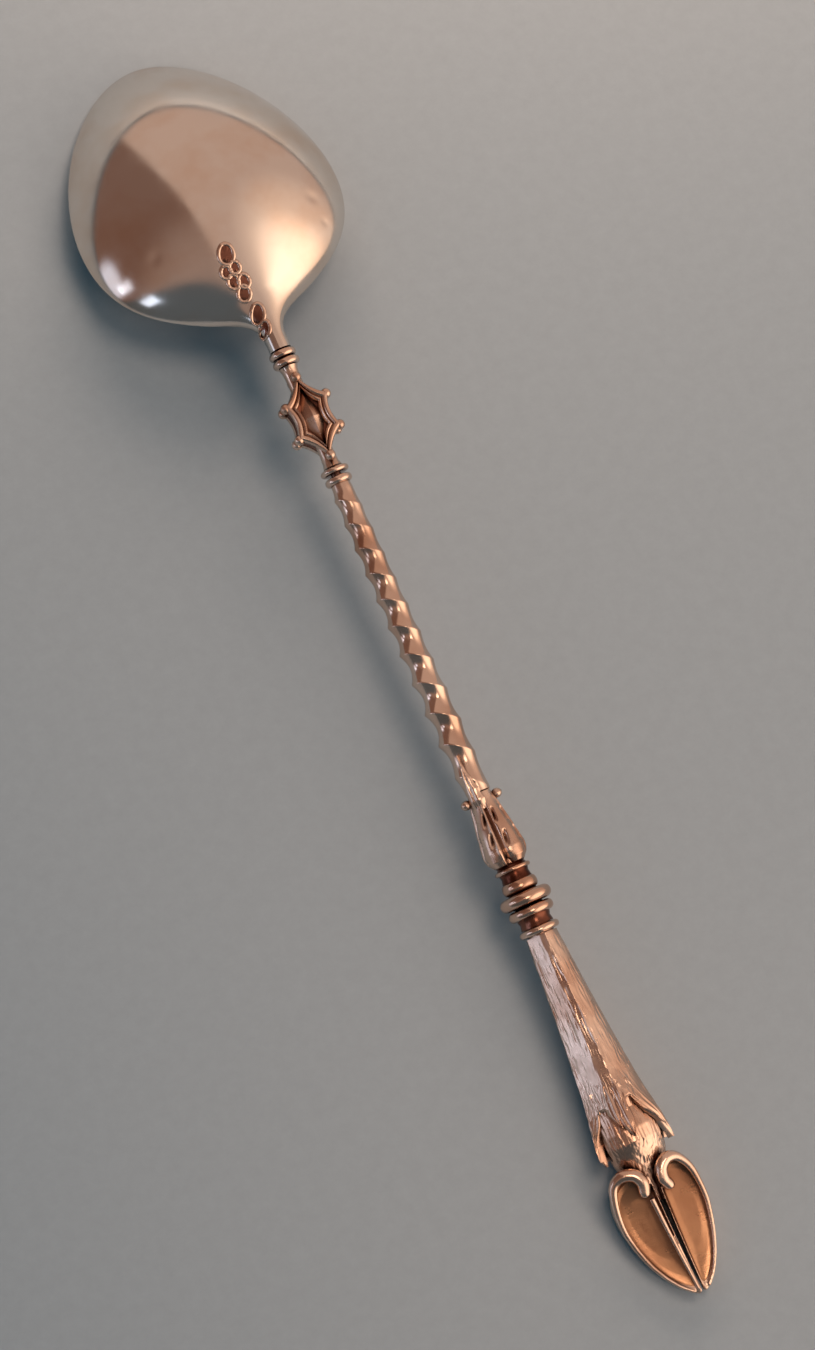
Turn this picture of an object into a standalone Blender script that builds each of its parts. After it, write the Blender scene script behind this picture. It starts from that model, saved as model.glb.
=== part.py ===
"""Silver demitasse spoon: a pear-shaped bowl on a jewelled, twisted stem that ends in a cloven hoof.

It lies face down: the bowl's tip and the hoof touch Z = 0. Y is the long axis, with the bowl at +Y.
"""
from math import asin, atan2, cos, hypot, pi, radians, sin, sqrt, tan

import bmesh
import bpy
from mathutils import Vector
from mathutils.geometry import interpolate_bezier

MM = 0.001

# Soldered seam between neighbouring pieces
SEAM = 0.1 * MM

# Bowl, measured in the plane of its rim from the tip
BOWL_LENGTH = 28.75 * MM
BOWL_WIDTH = 21.9 * MM
BOWL_WIDEST = 15.0 * MM
BOWL_DEPTH = 6.3 * MM
BOWL_DEEPEST = 13.8 * MM
BOWL_WALL = 0.75 * MM
RIM_WIDTH = 0.85 * MM
HEEL_SOLID = 4.2 * MM
BOWL_PITCH = radians(12.0)
NECK_DIAMETER = 1.8 * MM
NECK_ROOT = 4.0 * MM
NECK_RUN = 1.2 * MM

# Fullness of the bowl's curves, as shares of their runs
TIP_FULLNESS = 0.475
TIP_REACH = 0.53
SHOULDER_REACH = 0.75
NECK_SWEEP = 0.29
BACK_FULLNESS = 0.36
BACK_SWEEP = 0.36
HOLLOW_REACH = 0.6
HOLLOW_END_FULLNESS = 0.34

# Roundness of the bowl's back: a larger power is flatter in the middle, a larger root steeper at the edge
TIP_POWER = 1.9
TIP_ROOT = 1.0
SECTION_POWER = 1.9
SECTION_ROOT = 1.25

# Tenons that hold the pieces in line
NECK_TENON_DIAMETER = 1.0 * MM
NECK_TENON_DEPTH = 1.2 * MM
STEM_TENON_DIAMETER = 0.9 * MM
STEM_TENON_DEPTH = 1.0 * MM
CALYX_TENON_DIAMETER = 1.0 * MM
CALYX_TENON_DEPTH = 1.5 * MM
SPINDLE_DIAMETER = 2.1 * MM
SPINDLE_DEPTH = 1.6 * MM
PASTERN_TENON_DIAMETER = 2.0 * MM
PASTERN_TENON_DEPTH = 1.5 * MM

# Two rings at the neck
NECK_RING_DIAMETER = 2.15 * MM
NECK_RING_LENGTH = 0.6 * MM
NECK_RING_SPACING = 0.12 * MM

# Six-pointed cartouche
CARTOUCHE_LENGTH = 6.8 * MM
CARTOUCHE_WIDTH = 3.56 * MM
CARTOUCHE_SIDE_SPAN = 2.72 * MM
CARTOUCHE_THICKNESS = 1.5 * MM
CARTOUCHE_BEAD_DIAMETER = 0.58 * MM
CARTOUCHE_BEAD_SHARE = 0.42
CARTOUCHE_POINT_WIDTH = 0.4 * MM
CARTOUCHE_SAG = 0.08
FRAME_WIDTH = 0.6 * MM
FRAME_HEIGHT = 0.35 * MM
BOSS_LENGTH_SHARE = 0.67
BOSS_WIDTH_SHARE = 0.78
BOSS_HEIGHT = 0.6 * MM
BOSS_EDGE = 0.12 * MM
WAIST_DIAMETER = 1.45 * MM
FIRST_WAIST_LENGTH = 1.15 * MM
LAST_WAIST_LENGTH = 0.8 * MM

# Two rings above the cartouche
COLLAR_FLANGE_DIAMETER = 2.3 * MM
COLLAR_FLANGE_LENGTH = 0.5 * MM
COLLAR_BARREL_DIAMETER = 2.05 * MM
COLLAR_BARREL_LENGTH = 0.88 * MM
COLLAR_SPACING = 0.25 * MM

# Twisted stem with one sharp left-hand crest
STEM_LENGTH = 26.3 * MM
STEM_START_DIAMETER = 1.4 * MM
STEM_END_DIAMETER = 1.9 * MM
CREST_START_HEIGHT = 0.2 * MM
CREST_HEIGHT = 0.42 * MM
CREST_FOOT_HEIGHT = 0.15 * MM
CREST_FADE = 5.0 * MM
CREST_SHARPNESS = 2.2
PITCH_START = 2.0 * MM
PITCH_END = 3.0 * MM
CREST_START_ANGLE = radians(327.0)

# Calyx with two lapping leaves
CALYX_LENGTH = 6.0 * MM
CALYX_START_DIAMETER = 1.7 * MM
CALYX_DIAMETER = 3.0 * MM
CALYX_FOOT_DIAMETER = 2.75 * MM
LEAF_OVERLAP = 3.2 * MM
LEAF_THICKNESS = 0.28 * MM
LEAF_SPREAD = radians(78.0)
CALYX_BEAD_DIAMETER = 0.82 * MM
CALYX_BEAD_PLACE = 0.5 * MM

# Turned baluster, threaded on the leg's spindle
FILLET_DIAMETER = 2.95 * MM
FILLET_LENGTH = 0.34 * MM
FILLET_SPACING = 0.3 * MM
SMALL_RING_DIAMETER = 2.85 * MM
SMALL_RING_LENGTH = 0.95 * MM
SMALL_RING_SPACING = 0.75 * MM
TORUS_DIAMETER = 4.25 * MM
TORUS_LENGTH = 1.05 * MM
LOWER_RING_DIAMETER = 3.7 * MM
LOWER_RING_LENGTH = 0.8 * MM
CAVETTO_DIAMETER = 2.65 * MM
CAVETTO_LENGTH = 0.8 * MM
END_RING_DIAMETER = 3.3 * MM
END_RING_LENGTH = 0.6 * MM

# Hind leg with a ridge along its back
LEG_LENGTH = 16.0 * MM
LEG_START_WIDTH = 2.6 * MM
LEG_END_WIDTH = 5.4 * MM
LEG_START_HEIGHT = 2.55 * MM
LEG_END_HEIGHT = 4.3 * MM
LEG_FLARE = 1.3
LEG_RIDGE = 0.3
CUFF_LENGTH = 5.0 * MM
CUFF_OVERHANG = 2.6 * MM
CUFF_ROOT_THICKNESS = 0.15 * MM
CUFF_THICKNESS = 0.4 * MM
CUFF_RISE = 0.2 * MM
CUFF_JAG_SHARE = 0.2
TUFT_LENGTH = 2.6 * MM
TUFT_WIDTH = 1.5 * MM
TUFT_HOLD_SHARE = 0.55

# Pastern and the two claws of the hoof
PASTERN_LENGTH = 3.3 * MM
WEB_LENGTH = 6.0 * MM
WEB_WIDTH = 0.4 * MM
WEB_END_WIDTH = 0.12 * MM
CLEFT_TOE_WIDTH = 0.16 * MM
HOOF_LENGTH = 10.6 * MM
HOOF_WIDTH = 6.8 * MM
HOOF_WIDEST = 2.9 * MM
HOOF_HEEL_RISE = 1.1 * MM
HOOF_TOE_RISE = -0.35 * MM
HOOF_BELLY = 1.9 * MM
HOOF_TOE_THICKNESS = 0.75 * MM
SOLE_DEPTH = 0.45 * MM
SOLE_RIM = 0.42 * MM
HEEL_BULB_DIAMETER = 1.5 * MM

# Facets of the round pieces
ROUND_SEGMENTS = 20
STEM_SEGMENTS = 12
BOWL_STEPS = 12
BOWL_RINGS = (0.2, 0.4, 0.56, 0.7, 0.8, 0.88, 0.94, 0.98, 1.0)

# Places along the handle's axis, measured from the neck's end towards the hoof
NECK_RING_STARTS = (SEAM, SEAM + NECK_RING_LENGTH + NECK_RING_SPACING)
CARTOUCHE_START = NECK_RING_STARTS[1] + NECK_RING_LENGTH + SEAM
CARTOUCHE_FIRST_POINT = CARTOUCHE_START + FIRST_WAIST_LENGTH
CARTOUCHE_MIDDLE = CARTOUCHE_FIRST_POINT + CARTOUCHE_LENGTH / 2
CARTOUCHE_END = CARTOUCHE_FIRST_POINT + CARTOUCHE_LENGTH + LAST_WAIST_LENGTH
FLANGE_START = CARTOUCHE_END + SEAM
BARREL_START = FLANGE_START + COLLAR_FLANGE_LENGTH + COLLAR_SPACING
STEM_START = BARREL_START + COLLAR_BARREL_LENGTH + SEAM
STEM_END = STEM_START + STEM_LENGTH
CALYX_START = STEM_END + SEAM
CALYX_END = CALYX_START + CALYX_LENGTH
FILLET_START = CALYX_END + FILLET_SPACING
SMALL_RING_START = FILLET_START + FILLET_LENGTH + SMALL_RING_SPACING
TORUS_START = SMALL_RING_START + SMALL_RING_LENGTH + SEAM
LOWER_RING_START = TORUS_START + TORUS_LENGTH + SEAM
END_RING_START = LOWER_RING_START + LOWER_RING_LENGTH + CAVETTO_LENGTH + SEAM
LEG_START = END_RING_START + END_RING_LENGTH + SEAM
LEG_END = LEG_START + LEG_LENGTH
CUFF_START = LEG_END + CUFF_OVERHANG - CUFF_LENGTH
PASTERN_START = LEG_END + SEAM
HOOF_START = PASTERN_START + PASTERN_LENGTH + SEAM
HOOF_CONTACT = HOOF_START + HOOF_WIDEST

# The handle slopes down from the raised neck until the hoof's belly lies on Z = 0
NECK_HEIGHT = BOWL_LENGTH * sin(BOWL_PITCH)
HOOF_REACH = hypot(HOOF_CONTACT, HOOF_BELLY)
HANDLE_SLOPE = asin(NECK_HEIGHT / HOOF_REACH) - atan2(HOOF_BELLY, HOOF_CONTACT)
OVERALL_LENGTH = BOWL_LENGTH * cos(BOWL_PITCH) + (HOOF_START + HOOF_LENGTH) * cos(HANDLE_SLOPE)
BOWL_TIP_Y = OVERALL_LENGTH / 2
NECK_END_Y = BOWL_TIP_Y - BOWL_LENGTH * cos(BOWL_PITCH)


def clear_scene():
    for obj in list(bpy.data.objects):
        bpy.data.objects.remove(obj, do_unlink=True)


def silver(name, colour, roughness):
    material = bpy.data.materials.new(name)
    material.use_nodes = True
    shader = material.node_tree.nodes["Principled BSDF"]
    shader.inputs["Base Color"].default_value = (*colour, 1.0)
    shader.inputs["Metallic"].default_value = 1.0
    shader.inputs["Roughness"].default_value = roughness
    return material


def empty(name, location, rotation):
    obj = bpy.data.objects.new(name, None)
    obj.location = location
    obj.rotation_euler = rotation
    bpy.context.collection.objects.link(obj)
    return obj


def add_piece(name, verts, faces, parent, material, sharp=radians(40.0)):
    """One closed piece, with its faces turned outwards and smooth shading between sharp edges."""
    mesh = bpy.data.meshes.new(name)
    mesh.from_pydata([tuple(v) for v in verts], [], faces)
    tidy = bmesh.new()
    tidy.from_mesh(mesh)
    bmesh.ops.recalc_face_normals(tidy, faces=tidy.faces)
    tidy.to_mesh(mesh)
    tidy.free()
    mesh.shade_smooth()
    mesh.set_sharp_from_angle(angle=sharp)
    mesh.materials.append(material)
    obj = bpy.data.objects.new(name, mesh)
    obj.parent = parent
    bpy.context.collection.objects.link(obj)
    return obj


def combine(target, tool, operation):
    """Adds or cuts with a tool body that is itself left out of the part."""
    tool.hide_render = True
    tool.display_type = 'WIRE'
    modifier = target.modifiers.new(tool.name, 'BOOLEAN')
    modifier.operation = operation
    modifier.solver = 'EXACT'
    modifier.object = tool


def loft(rings, closed=False):
    """Skins rings of equally many points. An open skin gets flat ends, a closed one meets itself."""
    count = len(rings[0])
    verts = [point for ring in rings for point in ring]
    faces = []
    for i in range(len(rings) if closed else len(rings) - 1):
        here = i * count
        there = (i + 1) % len(rings) * count
        for j in range(count):
            k = (j + 1) % count
            faces.append((here + j, here + k, there + k, there + j))
    if not closed:
        last = (len(rings) - 1) * count
        faces.append(tuple(range(count)))
        faces.append(tuple(range(last, last + count)))
    return verts, faces


def dome(rings, first, last):
    """Skins rings between two single end points."""
    count = len(rings[0])
    verts = [first] + [point for ring in rings for point in ring] + [last]
    faces = []
    final = len(verts) - 1
    for j in range(count):
        k = (j + 1) % count
        faces.append((0, 1 + j, 1 + k))
        for i in range(len(rings) - 1):
            here = 1 + i * count
            there = here + count
            faces.append((here + j, there + j, there + k, here + k))
        faces.append((final, final - count + k, final - count + j))
    return verts, faces


def at(along, x, z):
    """A point of the handle, by its distance from the neck's end."""
    return Vector((x, -along, z))


def circle(along, radius, segments=ROUND_SEGMENTS):
    turn = 2 * pi / segments
    return [at(along, radius * cos(j * turn), radius * sin(j * turn)) for j in range(segments)]


def turned(profile):
    """A round solid from (along, radius) pairs."""
    return loft([circle(along, radius) for along, radius in profile])


def ring_shape(start, length, diameter, bore, shoulder):
    """A rounded ring with a bore. Its shoulders stand at a share of its outer height."""
    outer = diameter / 2
    inner = bore / 2
    edge = inner + (outer - inner) * shoulder
    rise = (outer + edge) / 2
    return [(start, inner), (start, edge), (start + 0.18 * length, (outer + rise) / 2),
            (start + 0.5 * length, outer), (start + 0.82 * length, (outer + rise) / 2),
            (start + length, edge), (start + length, inner)]


def spun_ring(profile):
    """A ring spun from a closed (along, radius) profile about the handle's axis."""
    turn = 2 * pi / ROUND_SEGMENTS
    return loft([[at(along, radius * cos(j * turn), radius * sin(j * turn)) for along, radius in profile]
                 for j in range(ROUND_SEGMENTS)], closed=True)


def blend(table, value):
    """Reads a smooth curve through (position, value) pairs in rising order."""
    if value <= table[0][0]:
        return table[0][1]
    for (left, low), (right, high) in zip(table, table[1:]):
        if value <= right:
            share = (value - left) / (right - left)
            return low + (high - low) * share * share * (3 - 2 * share)
    return table[-1][1]


def straight(table, value):
    """Reads straight runs through (position, value) pairs in rising order."""
    if value <= table[0][0]:
        return table[0][1]
    for (left, low), (right, high) in zip(table, table[1:]):
        if value <= right:
            return low + (high - low) * (value - left) / (right - left)
    return table[-1][1]


def bezier(start, start_handle, end_handle, end, steps):
    points = [Vector((*p, 0.0)) for p in (start, start_handle, end_handle, end)]
    return [(p.x, p.y) for p in interpolate_bezier(*points, steps + 1)]


def swell(share, power, root):
    """Height of a rounded curve, from 1 on its middle line to 0 at its edge."""
    return max(0.0, 1.0 - min(share, 1.0) ** power) ** (1 / root)


def bowl_outline(steps):
    """Half of the rim's outer edge as (distance from the tip, half width)."""
    half = BOWL_WIDTH / 2
    neck_end = BOWL_LENGTH - 0.55 * NECK_DIAMETER
    neck_half = 0.47 * NECK_DIAMETER
    run = neck_end - BOWL_WIDEST
    tip_run = bezier((0, 0), (0, TIP_FULLNESS * half), (TIP_REACH * BOWL_WIDEST, half),
                     (BOWL_WIDEST, half), steps)
    shoulder = bezier((BOWL_WIDEST, half), (BOWL_WIDEST + SHOULDER_REACH * run, half),
                      (neck_end - NECK_SWEEP * run, neck_half), (neck_end, neck_half), steps)
    return tip_run + shoulder[1:]


def hollow_outline(steps):
    """Half of the rim's inner edge, which stops short of the solid heel."""
    half = BOWL_WIDTH / 2 - RIM_WIDTH
    heel = BOWL_LENGTH - HEEL_SOLID
    heel_half = RIM_WIDTH / 2
    reach = BOWL_WIDEST - RIM_WIDTH
    run = heel - BOWL_WIDEST
    tip_run = bezier((RIM_WIDTH, 0), (RIM_WIDTH, TIP_FULLNESS * half),
                     (RIM_WIDTH + TIP_REACH * reach, half), (BOWL_WIDEST, half), steps)
    shoulder = bezier((BOWL_WIDEST, half), (BOWL_WIDEST + HOLLOW_REACH * run, half),
                      (heel, HOLLOW_END_FULLNESS * half), (heel, heel_half), steps)
    return tip_run + shoulder[1:]


def neck_line(along):
    """Height of the neck's back above the rim's plane, which the bowl's back runs into."""
    lean = BOWL_PITCH + HANDLE_SLOPE
    return (BOWL_LENGTH - along) * tan(lean) + NECK_DIAMETER / 2 / cos(lean)


def back_line(along):
    """Height of the bowl's back above the rim's plane on the middle line."""
    if along < BOWL_DEEPEST:
        return BOWL_DEPTH * swell((BOWL_DEEPEST - along) / BOWL_DEEPEST, TIP_POWER, TIP_ROOT)
    end = BOWL_LENGTH - NECK_RUN
    run = end - BOWL_DEEPEST
    sweep = end - BACK_SWEEP * run
    curve = bezier((BOWL_DEEPEST, BOWL_DEPTH), (BOWL_DEEPEST + BACK_FULLNESS * run, BOWL_DEPTH),
                   (sweep, neck_line(sweep)), (end, neck_line(end)), 4 * BOWL_STEPS)
    return straight(curve, along)


def hollow_line(along):
    """Height of the hollow above the rim's plane on the middle line."""
    depth = BOWL_DEPTH - BOWL_WALL
    if along < BOWL_DEEPEST:
        reach = BOWL_DEEPEST - RIM_WIDTH
        return depth * swell((BOWL_DEEPEST - along) / reach, TIP_POWER, TIP_ROOT)
    share = (along - BOWL_DEEPEST) / (BOWL_LENGTH - HEEL_SOLID - BOWL_DEEPEST)
    return depth * max(0.0, 1.0 - share * share) ** 0.9


def bowl_rings(outline, middle_line):
    """Rings of the bowl's back or hollow, from near the middle out to the rim."""
    half_width = outline(4 * BOWL_STEPS)
    edge = outline(BOWL_STEPS)
    around = edge + [(along, -width) for along, width in reversed(edge[1:])]
    rings = []
    for share in BOWL_RINGS:
        ring = []
        for along, width in around:
            u = BOWL_WIDEST + share * (along - BOWL_WIDEST)
            x = share * width
            rise = 0.0
            if share < 1:
                part = abs(x) / straight(half_width, u)
                rise = middle_line(u) * swell(part, SECTION_POWER, SECTION_ROOT)
            ring.append(Vector((x, -u, rise)))
        rings.append(ring)
    return rings


def build_bowl(plane, handle, material):
    back = bowl_rings(bowl_outline, back_line)
    hollow = bowl_rings(hollow_outline, hollow_line)
    crown = Vector((0, -BOWL_WIDEST, back_line(BOWL_WIDEST)))
    floor = Vector((0, -BOWL_WIDEST, hollow_line(BOWL_WIDEST)))
    bowl = add_piece("bowl", *dome(back + hollow[::-1], crown, floor), plane, material)
    neck = NECK_DIAMETER / 2
    rod = add_piece("tool_neck_rod", *turned([(-NECK_ROOT, neck), (0, neck)]), handle, material)
    combine(bowl, rod, 'UNION')
    socket_end = NECK_TENON_DEPTH + SEAM
    socket = socket_tool("tool_neck_socket", -socket_end, NECK_DIAMETER, NECK_TENON_DIAMETER,
                         handle, material)
    combine(bowl, socket, 'DIFFERENCE')


def socket_tool(name, start, end, tenon_diameter, handle, material):
    """A round cutter that clears a tenon by the seam."""
    radius = tenon_diameter / 2 + SEAM
    return add_piece(name, *turned([(start, radius), (end, radius)]), handle, material)


def build_ring(name, start, length, diameter, tenon_diameter, shoulder, handle, material):
    bore = tenon_diameter + 2 * SEAM
    add_piece(name, *spun_ring(ring_shape(start, length, diameter, bore, shoulder)), handle, material)


def build_neck_rings(handle, material):
    for name, start in zip(("neck_ring_lower", "neck_ring_upper"), NECK_RING_STARTS):
        build_ring(name, start, NECK_RING_LENGTH, NECK_RING_DIAMETER, NECK_TENON_DIAMETER, 0.45,
                   handle, material)


def cartouche_points():
    """The six bead places as (along, x) from the cartouche's middle, going round it."""
    half = CARTOUCHE_LENGTH / 2
    side = CARTOUCHE_SIDE_SPAN / 2
    wide = CARTOUCHE_WIDTH / 2
    right = [(-half, 0), (-side, wide), (side, wide)]
    left = [(half, 0), (side, -wide), (-side, -wide)]
    return [Vector(p) for p in right + left]


def cartouche_outline():
    """Cusped outline: a short facet under each bead, and a hollow arc from one facet to the next."""
    points = cartouche_points()
    facets = []
    for k, point in enumerate(points):
        out = point.normalized()
        across = Vector((-out.y, out.x))
        if across.dot(points[(k + 1) % 6] - points[k - 1]) < 0:
            across.negate()
        seat = point - out * (CARTOUCHE_BEAD_DIAMETER / 2 + SEAM)
        reach = across * CARTOUCHE_POINT_WIDTH / 2
        facets.append((seat - reach, seat + reach))
    outline = []
    for k, (first, second) in enumerate(facets):
        onward = facets[(k + 1) % 6][0]
        pull = (second + onward) / 2 * (1 - CARTOUCHE_SAG)
        outline.append(first)
        arc = bezier(second, second.lerp(pull, 2 / 3), onward.lerp(pull, 2 / 3), onward, 5)
        outline += [Vector(p) for p in arc[:-1]]
    return outline


def cartouche_ring(inset, z):
    """The cartouche's outline drawn in towards its middle, at a height."""
    long_scale = 1 - 2 * inset / CARTOUCHE_LENGTH
    wide_scale = 1 - 2 * inset / CARTOUCHE_WIDTH
    return [at(CARTOUCHE_MIDDLE + p.x * long_scale, p.y * wide_scale, z) for p in cartouche_outline()]


def build_cartouche(handle, material):
    face = CARTOUCHE_THICKNESS / 2
    plate = loft([cartouche_ring(0, -face), cartouche_ring(0, face)])
    body = add_piece("cartouche_body", *plate, handle, material)
    tenon = NECK_TENON_DIAMETER / 2
    waist = WAIST_DIAMETER / 2
    core = 0.8 * waist
    bead = CARTOUCHE_BEAD_DIAMETER / 2
    last_point = CARTOUCHE_FIRST_POINT + CARTOUCHE_LENGTH
    profile = [(-NECK_TENON_DEPTH, tenon), (CARTOUCHE_START, tenon), (CARTOUCHE_START, waist),
               (CARTOUCHE_FIRST_POINT - bead, core), (last_point + bead, core), (CARTOUCHE_END, waist)]
    rod = add_piece("tool_cartouche_rod", *turned(profile), handle, material)
    combine(body, rod, 'UNION')
    socket_start = CARTOUCHE_END - STEM_TENON_DEPTH - SEAM
    socket = socket_tool("tool_cartouche_socket", socket_start, CARTOUCHE_END + WAIST_DIAMETER,
                         STEM_TENON_DIAMETER, handle, material)
    combine(body, socket, 'DIFFERENCE')
    for name, side in (("back", 1), ("front", -1)):
        build_cartouche_face(name, side, core, handle, material)


def build_cartouche_face(name, side, core, handle, material):
    """Double-railed frame, four-sided boss and six beads of one face."""
    seat = CARTOUCHE_THICKNESS / 2 + SEAM
    rails = ((0.06, 0.0), (0.0, 0.55), (0.18, 1.0), (0.38, 0.9), (0.5, 0.45),
             (0.62, 0.9), (0.82, 1.0), (1.0, 0.55), (0.94, 0.0))
    rings = [cartouche_ring(inset * FRAME_WIDTH, side * (seat + rise * FRAME_HEIGHT))
             for inset, rise in rails]
    add_piece("cartouche_frame_" + name, *loft(rings, closed=True), handle, material)

    field = cartouche_ring(FRAME_WIDTH, 0)
    half_width = BOSS_WIDTH_SHARE * max(p.x for p in field)
    half_length = BOSS_LENGTH_SHARE * max(-p.y - CARTOUCHE_MIDDLE for p in field)
    corners = ((-half_length, 0), (0, half_width), (half_length, 0), (0, -half_width))
    base = [at(CARTOUCHE_MIDDLE + along, x, side * seat) for along, x in corners]
    girdle = [at(CARTOUCHE_MIDDLE + along, x, side * (seat + BOSS_EDGE)) for along, x in corners]
    foot = at(CARTOUCHE_MIDDLE, 0, side * seat)
    peak = at(CARTOUCHE_MIDDLE, 0, side * (seat + BOSS_HEIGHT))
    pyramid = dome([base, girdle], foot, peak)
    add_piece("cartouche_boss_" + name, *pyramid, handle, material, sharp=radians(10.0))

    bead = CARTOUCHE_BEAD_DIAMETER / 2
    for k, point in enumerate(cartouche_points(), 1):
        on_axis = point.y == 0
        height = core + SEAM + bead if on_axis else CARTOUCHE_BEAD_SHARE * CARTOUCHE_THICKNESS
        centre = at(CARTOUCHE_MIDDLE + point.x, point.y, side * height)
        build_bead(f"cartouche_bead_{name}_{k}", centre, bead, handle, material)


def build_bead(name, centre, radius, handle, material):
    """A small ball."""
    segments = 10
    levels = 5
    rings = []
    for i in range(1, levels):
        tilt = pi * i / levels
        rings.append([centre + Vector((radius * sin(tilt) * cos(2 * pi * j / segments),
                                       radius * sin(tilt) * sin(2 * pi * j / segments),
                                       radius * cos(tilt))) for j in range(segments)])
    top = centre + Vector((0, 0, radius))
    bottom = centre - Vector((0, 0, radius))
    return add_piece(name, *dome(rings, top, bottom), handle, material)


def build_collar(handle, material):
    build_ring("collar_flange", FLANGE_START, COLLAR_FLANGE_LENGTH, COLLAR_FLANGE_DIAMETER,
               STEM_TENON_DIAMETER, 0.75, handle, material)
    build_ring("collar_barrel", BARREL_START, COLLAR_BARREL_LENGTH, COLLAR_BARREL_DIAMETER,
               STEM_TENON_DIAMETER, 0.6, handle, material)


def stem_run(turns):
    """Run of the stem in which its crest makes some turns, at a pitch that grows along it."""
    start = 1 / PITCH_START
    growth = (1 / PITCH_END - start) / (2 * STEM_LENGTH)
    return (sqrt(start * start + 4 * growth * turns) - start) / (2 * growth)


def stem_core(run):
    """Radius of the stem in its hollows."""
    return (STEM_START_DIAMETER + (STEM_END_DIAMETER - STEM_START_DIAMETER) * run / STEM_LENGTH) / 2


def stem_crest(run):
    """Height of the crest, which grows along the stem and sinks away under the leaves."""
    table = ((0.0, CREST_START_HEIGHT), (STEM_LENGTH - CREST_FADE, CREST_HEIGHT),
             (STEM_LENGTH, CREST_FOOT_HEIGHT))
    return straight(table, run)


def stem_ring(turns):
    """One section of the stem. Its first point rides on the crest, and the faces between are hollow."""
    run = stem_run(turns)
    ring = []
    for j in range(STEM_SEGMENTS):
        part = j / STEM_SEGMENTS
        radius = stem_core(run) + stem_crest(run) * abs(2 * part - 1) ** CREST_SHARPNESS
        angle = CREST_START_ANGLE + 2 * pi * (part - turns)
        ring.append(at(STEM_START + run, radius * cos(angle), radius * sin(angle)))
    return ring


def build_stem(handle, material):
    all_turns = STEM_LENGTH * (1 / PITCH_START + 1 / PITCH_END) / 2
    stations = round(all_turns * STEM_SEGMENTS)
    tenon = STEM_TENON_DIAMETER / 2
    foot = CALYX_TENON_DIAMETER / 2
    rings = [circle(CARTOUCHE_END - STEM_TENON_DEPTH, tenon, STEM_SEGMENTS),
             circle(STEM_START, tenon, STEM_SEGMENTS)]
    rings += [stem_ring(all_turns * i / stations) for i in range(stations + 1)]
    rings += [circle(STEM_END, foot, STEM_SEGMENTS),
              circle(CALYX_START + CALYX_TENON_DEPTH, foot, STEM_SEGMENTS)]
    add_piece("twisted_stem", *loft(rings), handle, material)


def calyx_radius(along):
    """Outer radius of the calyx cup, slim at the stem and full above its foot."""
    table = ((0.0, CALYX_START_DIAMETER), (0.12, CALYX_START_DIAMETER),
             (0.8, CALYX_DIAMETER), (1.0, CALYX_FOOT_DIAMETER))
    return blend(table, (along - CALYX_START) / CALYX_LENGTH) / 2


def leaf_ring(share, side):
    """One section of a calyx leaf: its crowned outer face and the face that lies on the cup and stem."""
    points_across = 7
    start = CALYX_START - LEAF_OVERLAP
    along = start + share * (CALYX_END - start - SEAM)
    run = min(along - STEM_START, STEM_LENGTH)
    seat = max(stem_core(run) + stem_crest(run), calyx_radius(along)) + SEAM
    spread = LEAF_SPREAD * blend(((0.0, 0.04), (0.5, 0.62), (0.78, 1.0), (0.93, 1.0), (1.0, 0.7)), share)
    ragged = spread * (1 - 0.16 * abs(sin(4.5 * pi * share)))
    outer = []
    inner = []
    for j in range(points_across):
        across = 2 * j / (points_across - 1) - 1
        angle = side * (pi / 2 - ragged * across)
        thickness = LEAF_THICKNESS * (1 - 0.6 * across * across)
        outer.append(at(along, (seat + thickness) * cos(angle), (seat + thickness) * sin(angle)))
        inner.append(at(along, seat * cos(angle), seat * sin(angle)))
    return outer + inner[::-1]


def build_calyx(handle, material):
    steps = 9
    places = [CALYX_START + CALYX_LENGTH * i / steps for i in range(steps + 1)]
    shape = turned([(along, calyx_radius(along)) for along in places])
    cup = add_piece("calyx_cup", *shape, handle, material)
    stem_socket = socket_tool("tool_calyx_stem_socket", CALYX_START - CALYX_DIAMETER,
                              CALYX_START + CALYX_TENON_DEPTH + SEAM, CALYX_TENON_DIAMETER,
                              handle, material)
    combine(cup, stem_socket, 'DIFFERENCE')
    spindle_socket = socket_tool("tool_calyx_spindle_socket", CALYX_END - SPINDLE_DEPTH - SEAM,
                                 CALYX_END + CALYX_DIAMETER, SPINDLE_DIAMETER, handle, material)
    combine(cup, spindle_socket, 'DIFFERENCE')
    leaf_steps = 18
    for name, side in (("calyx_leaf_back", 1), ("calyx_leaf_front", -1)):
        rings = [leaf_ring(i / leaf_steps, side) for i in range(leaf_steps + 1)]
        add_piece(name, *loft(rings), handle, material)
    bead = CALYX_BEAD_DIAMETER / 2
    along = CALYX_START + CALYX_BEAD_PLACE
    x = calyx_radius(along) + SEAM + bead
    for name, side in (("calyx_bead_right", 1), ("calyx_bead_left", -1)):
        build_bead(name, at(along, side * x, 0), bead, handle, material)


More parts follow.
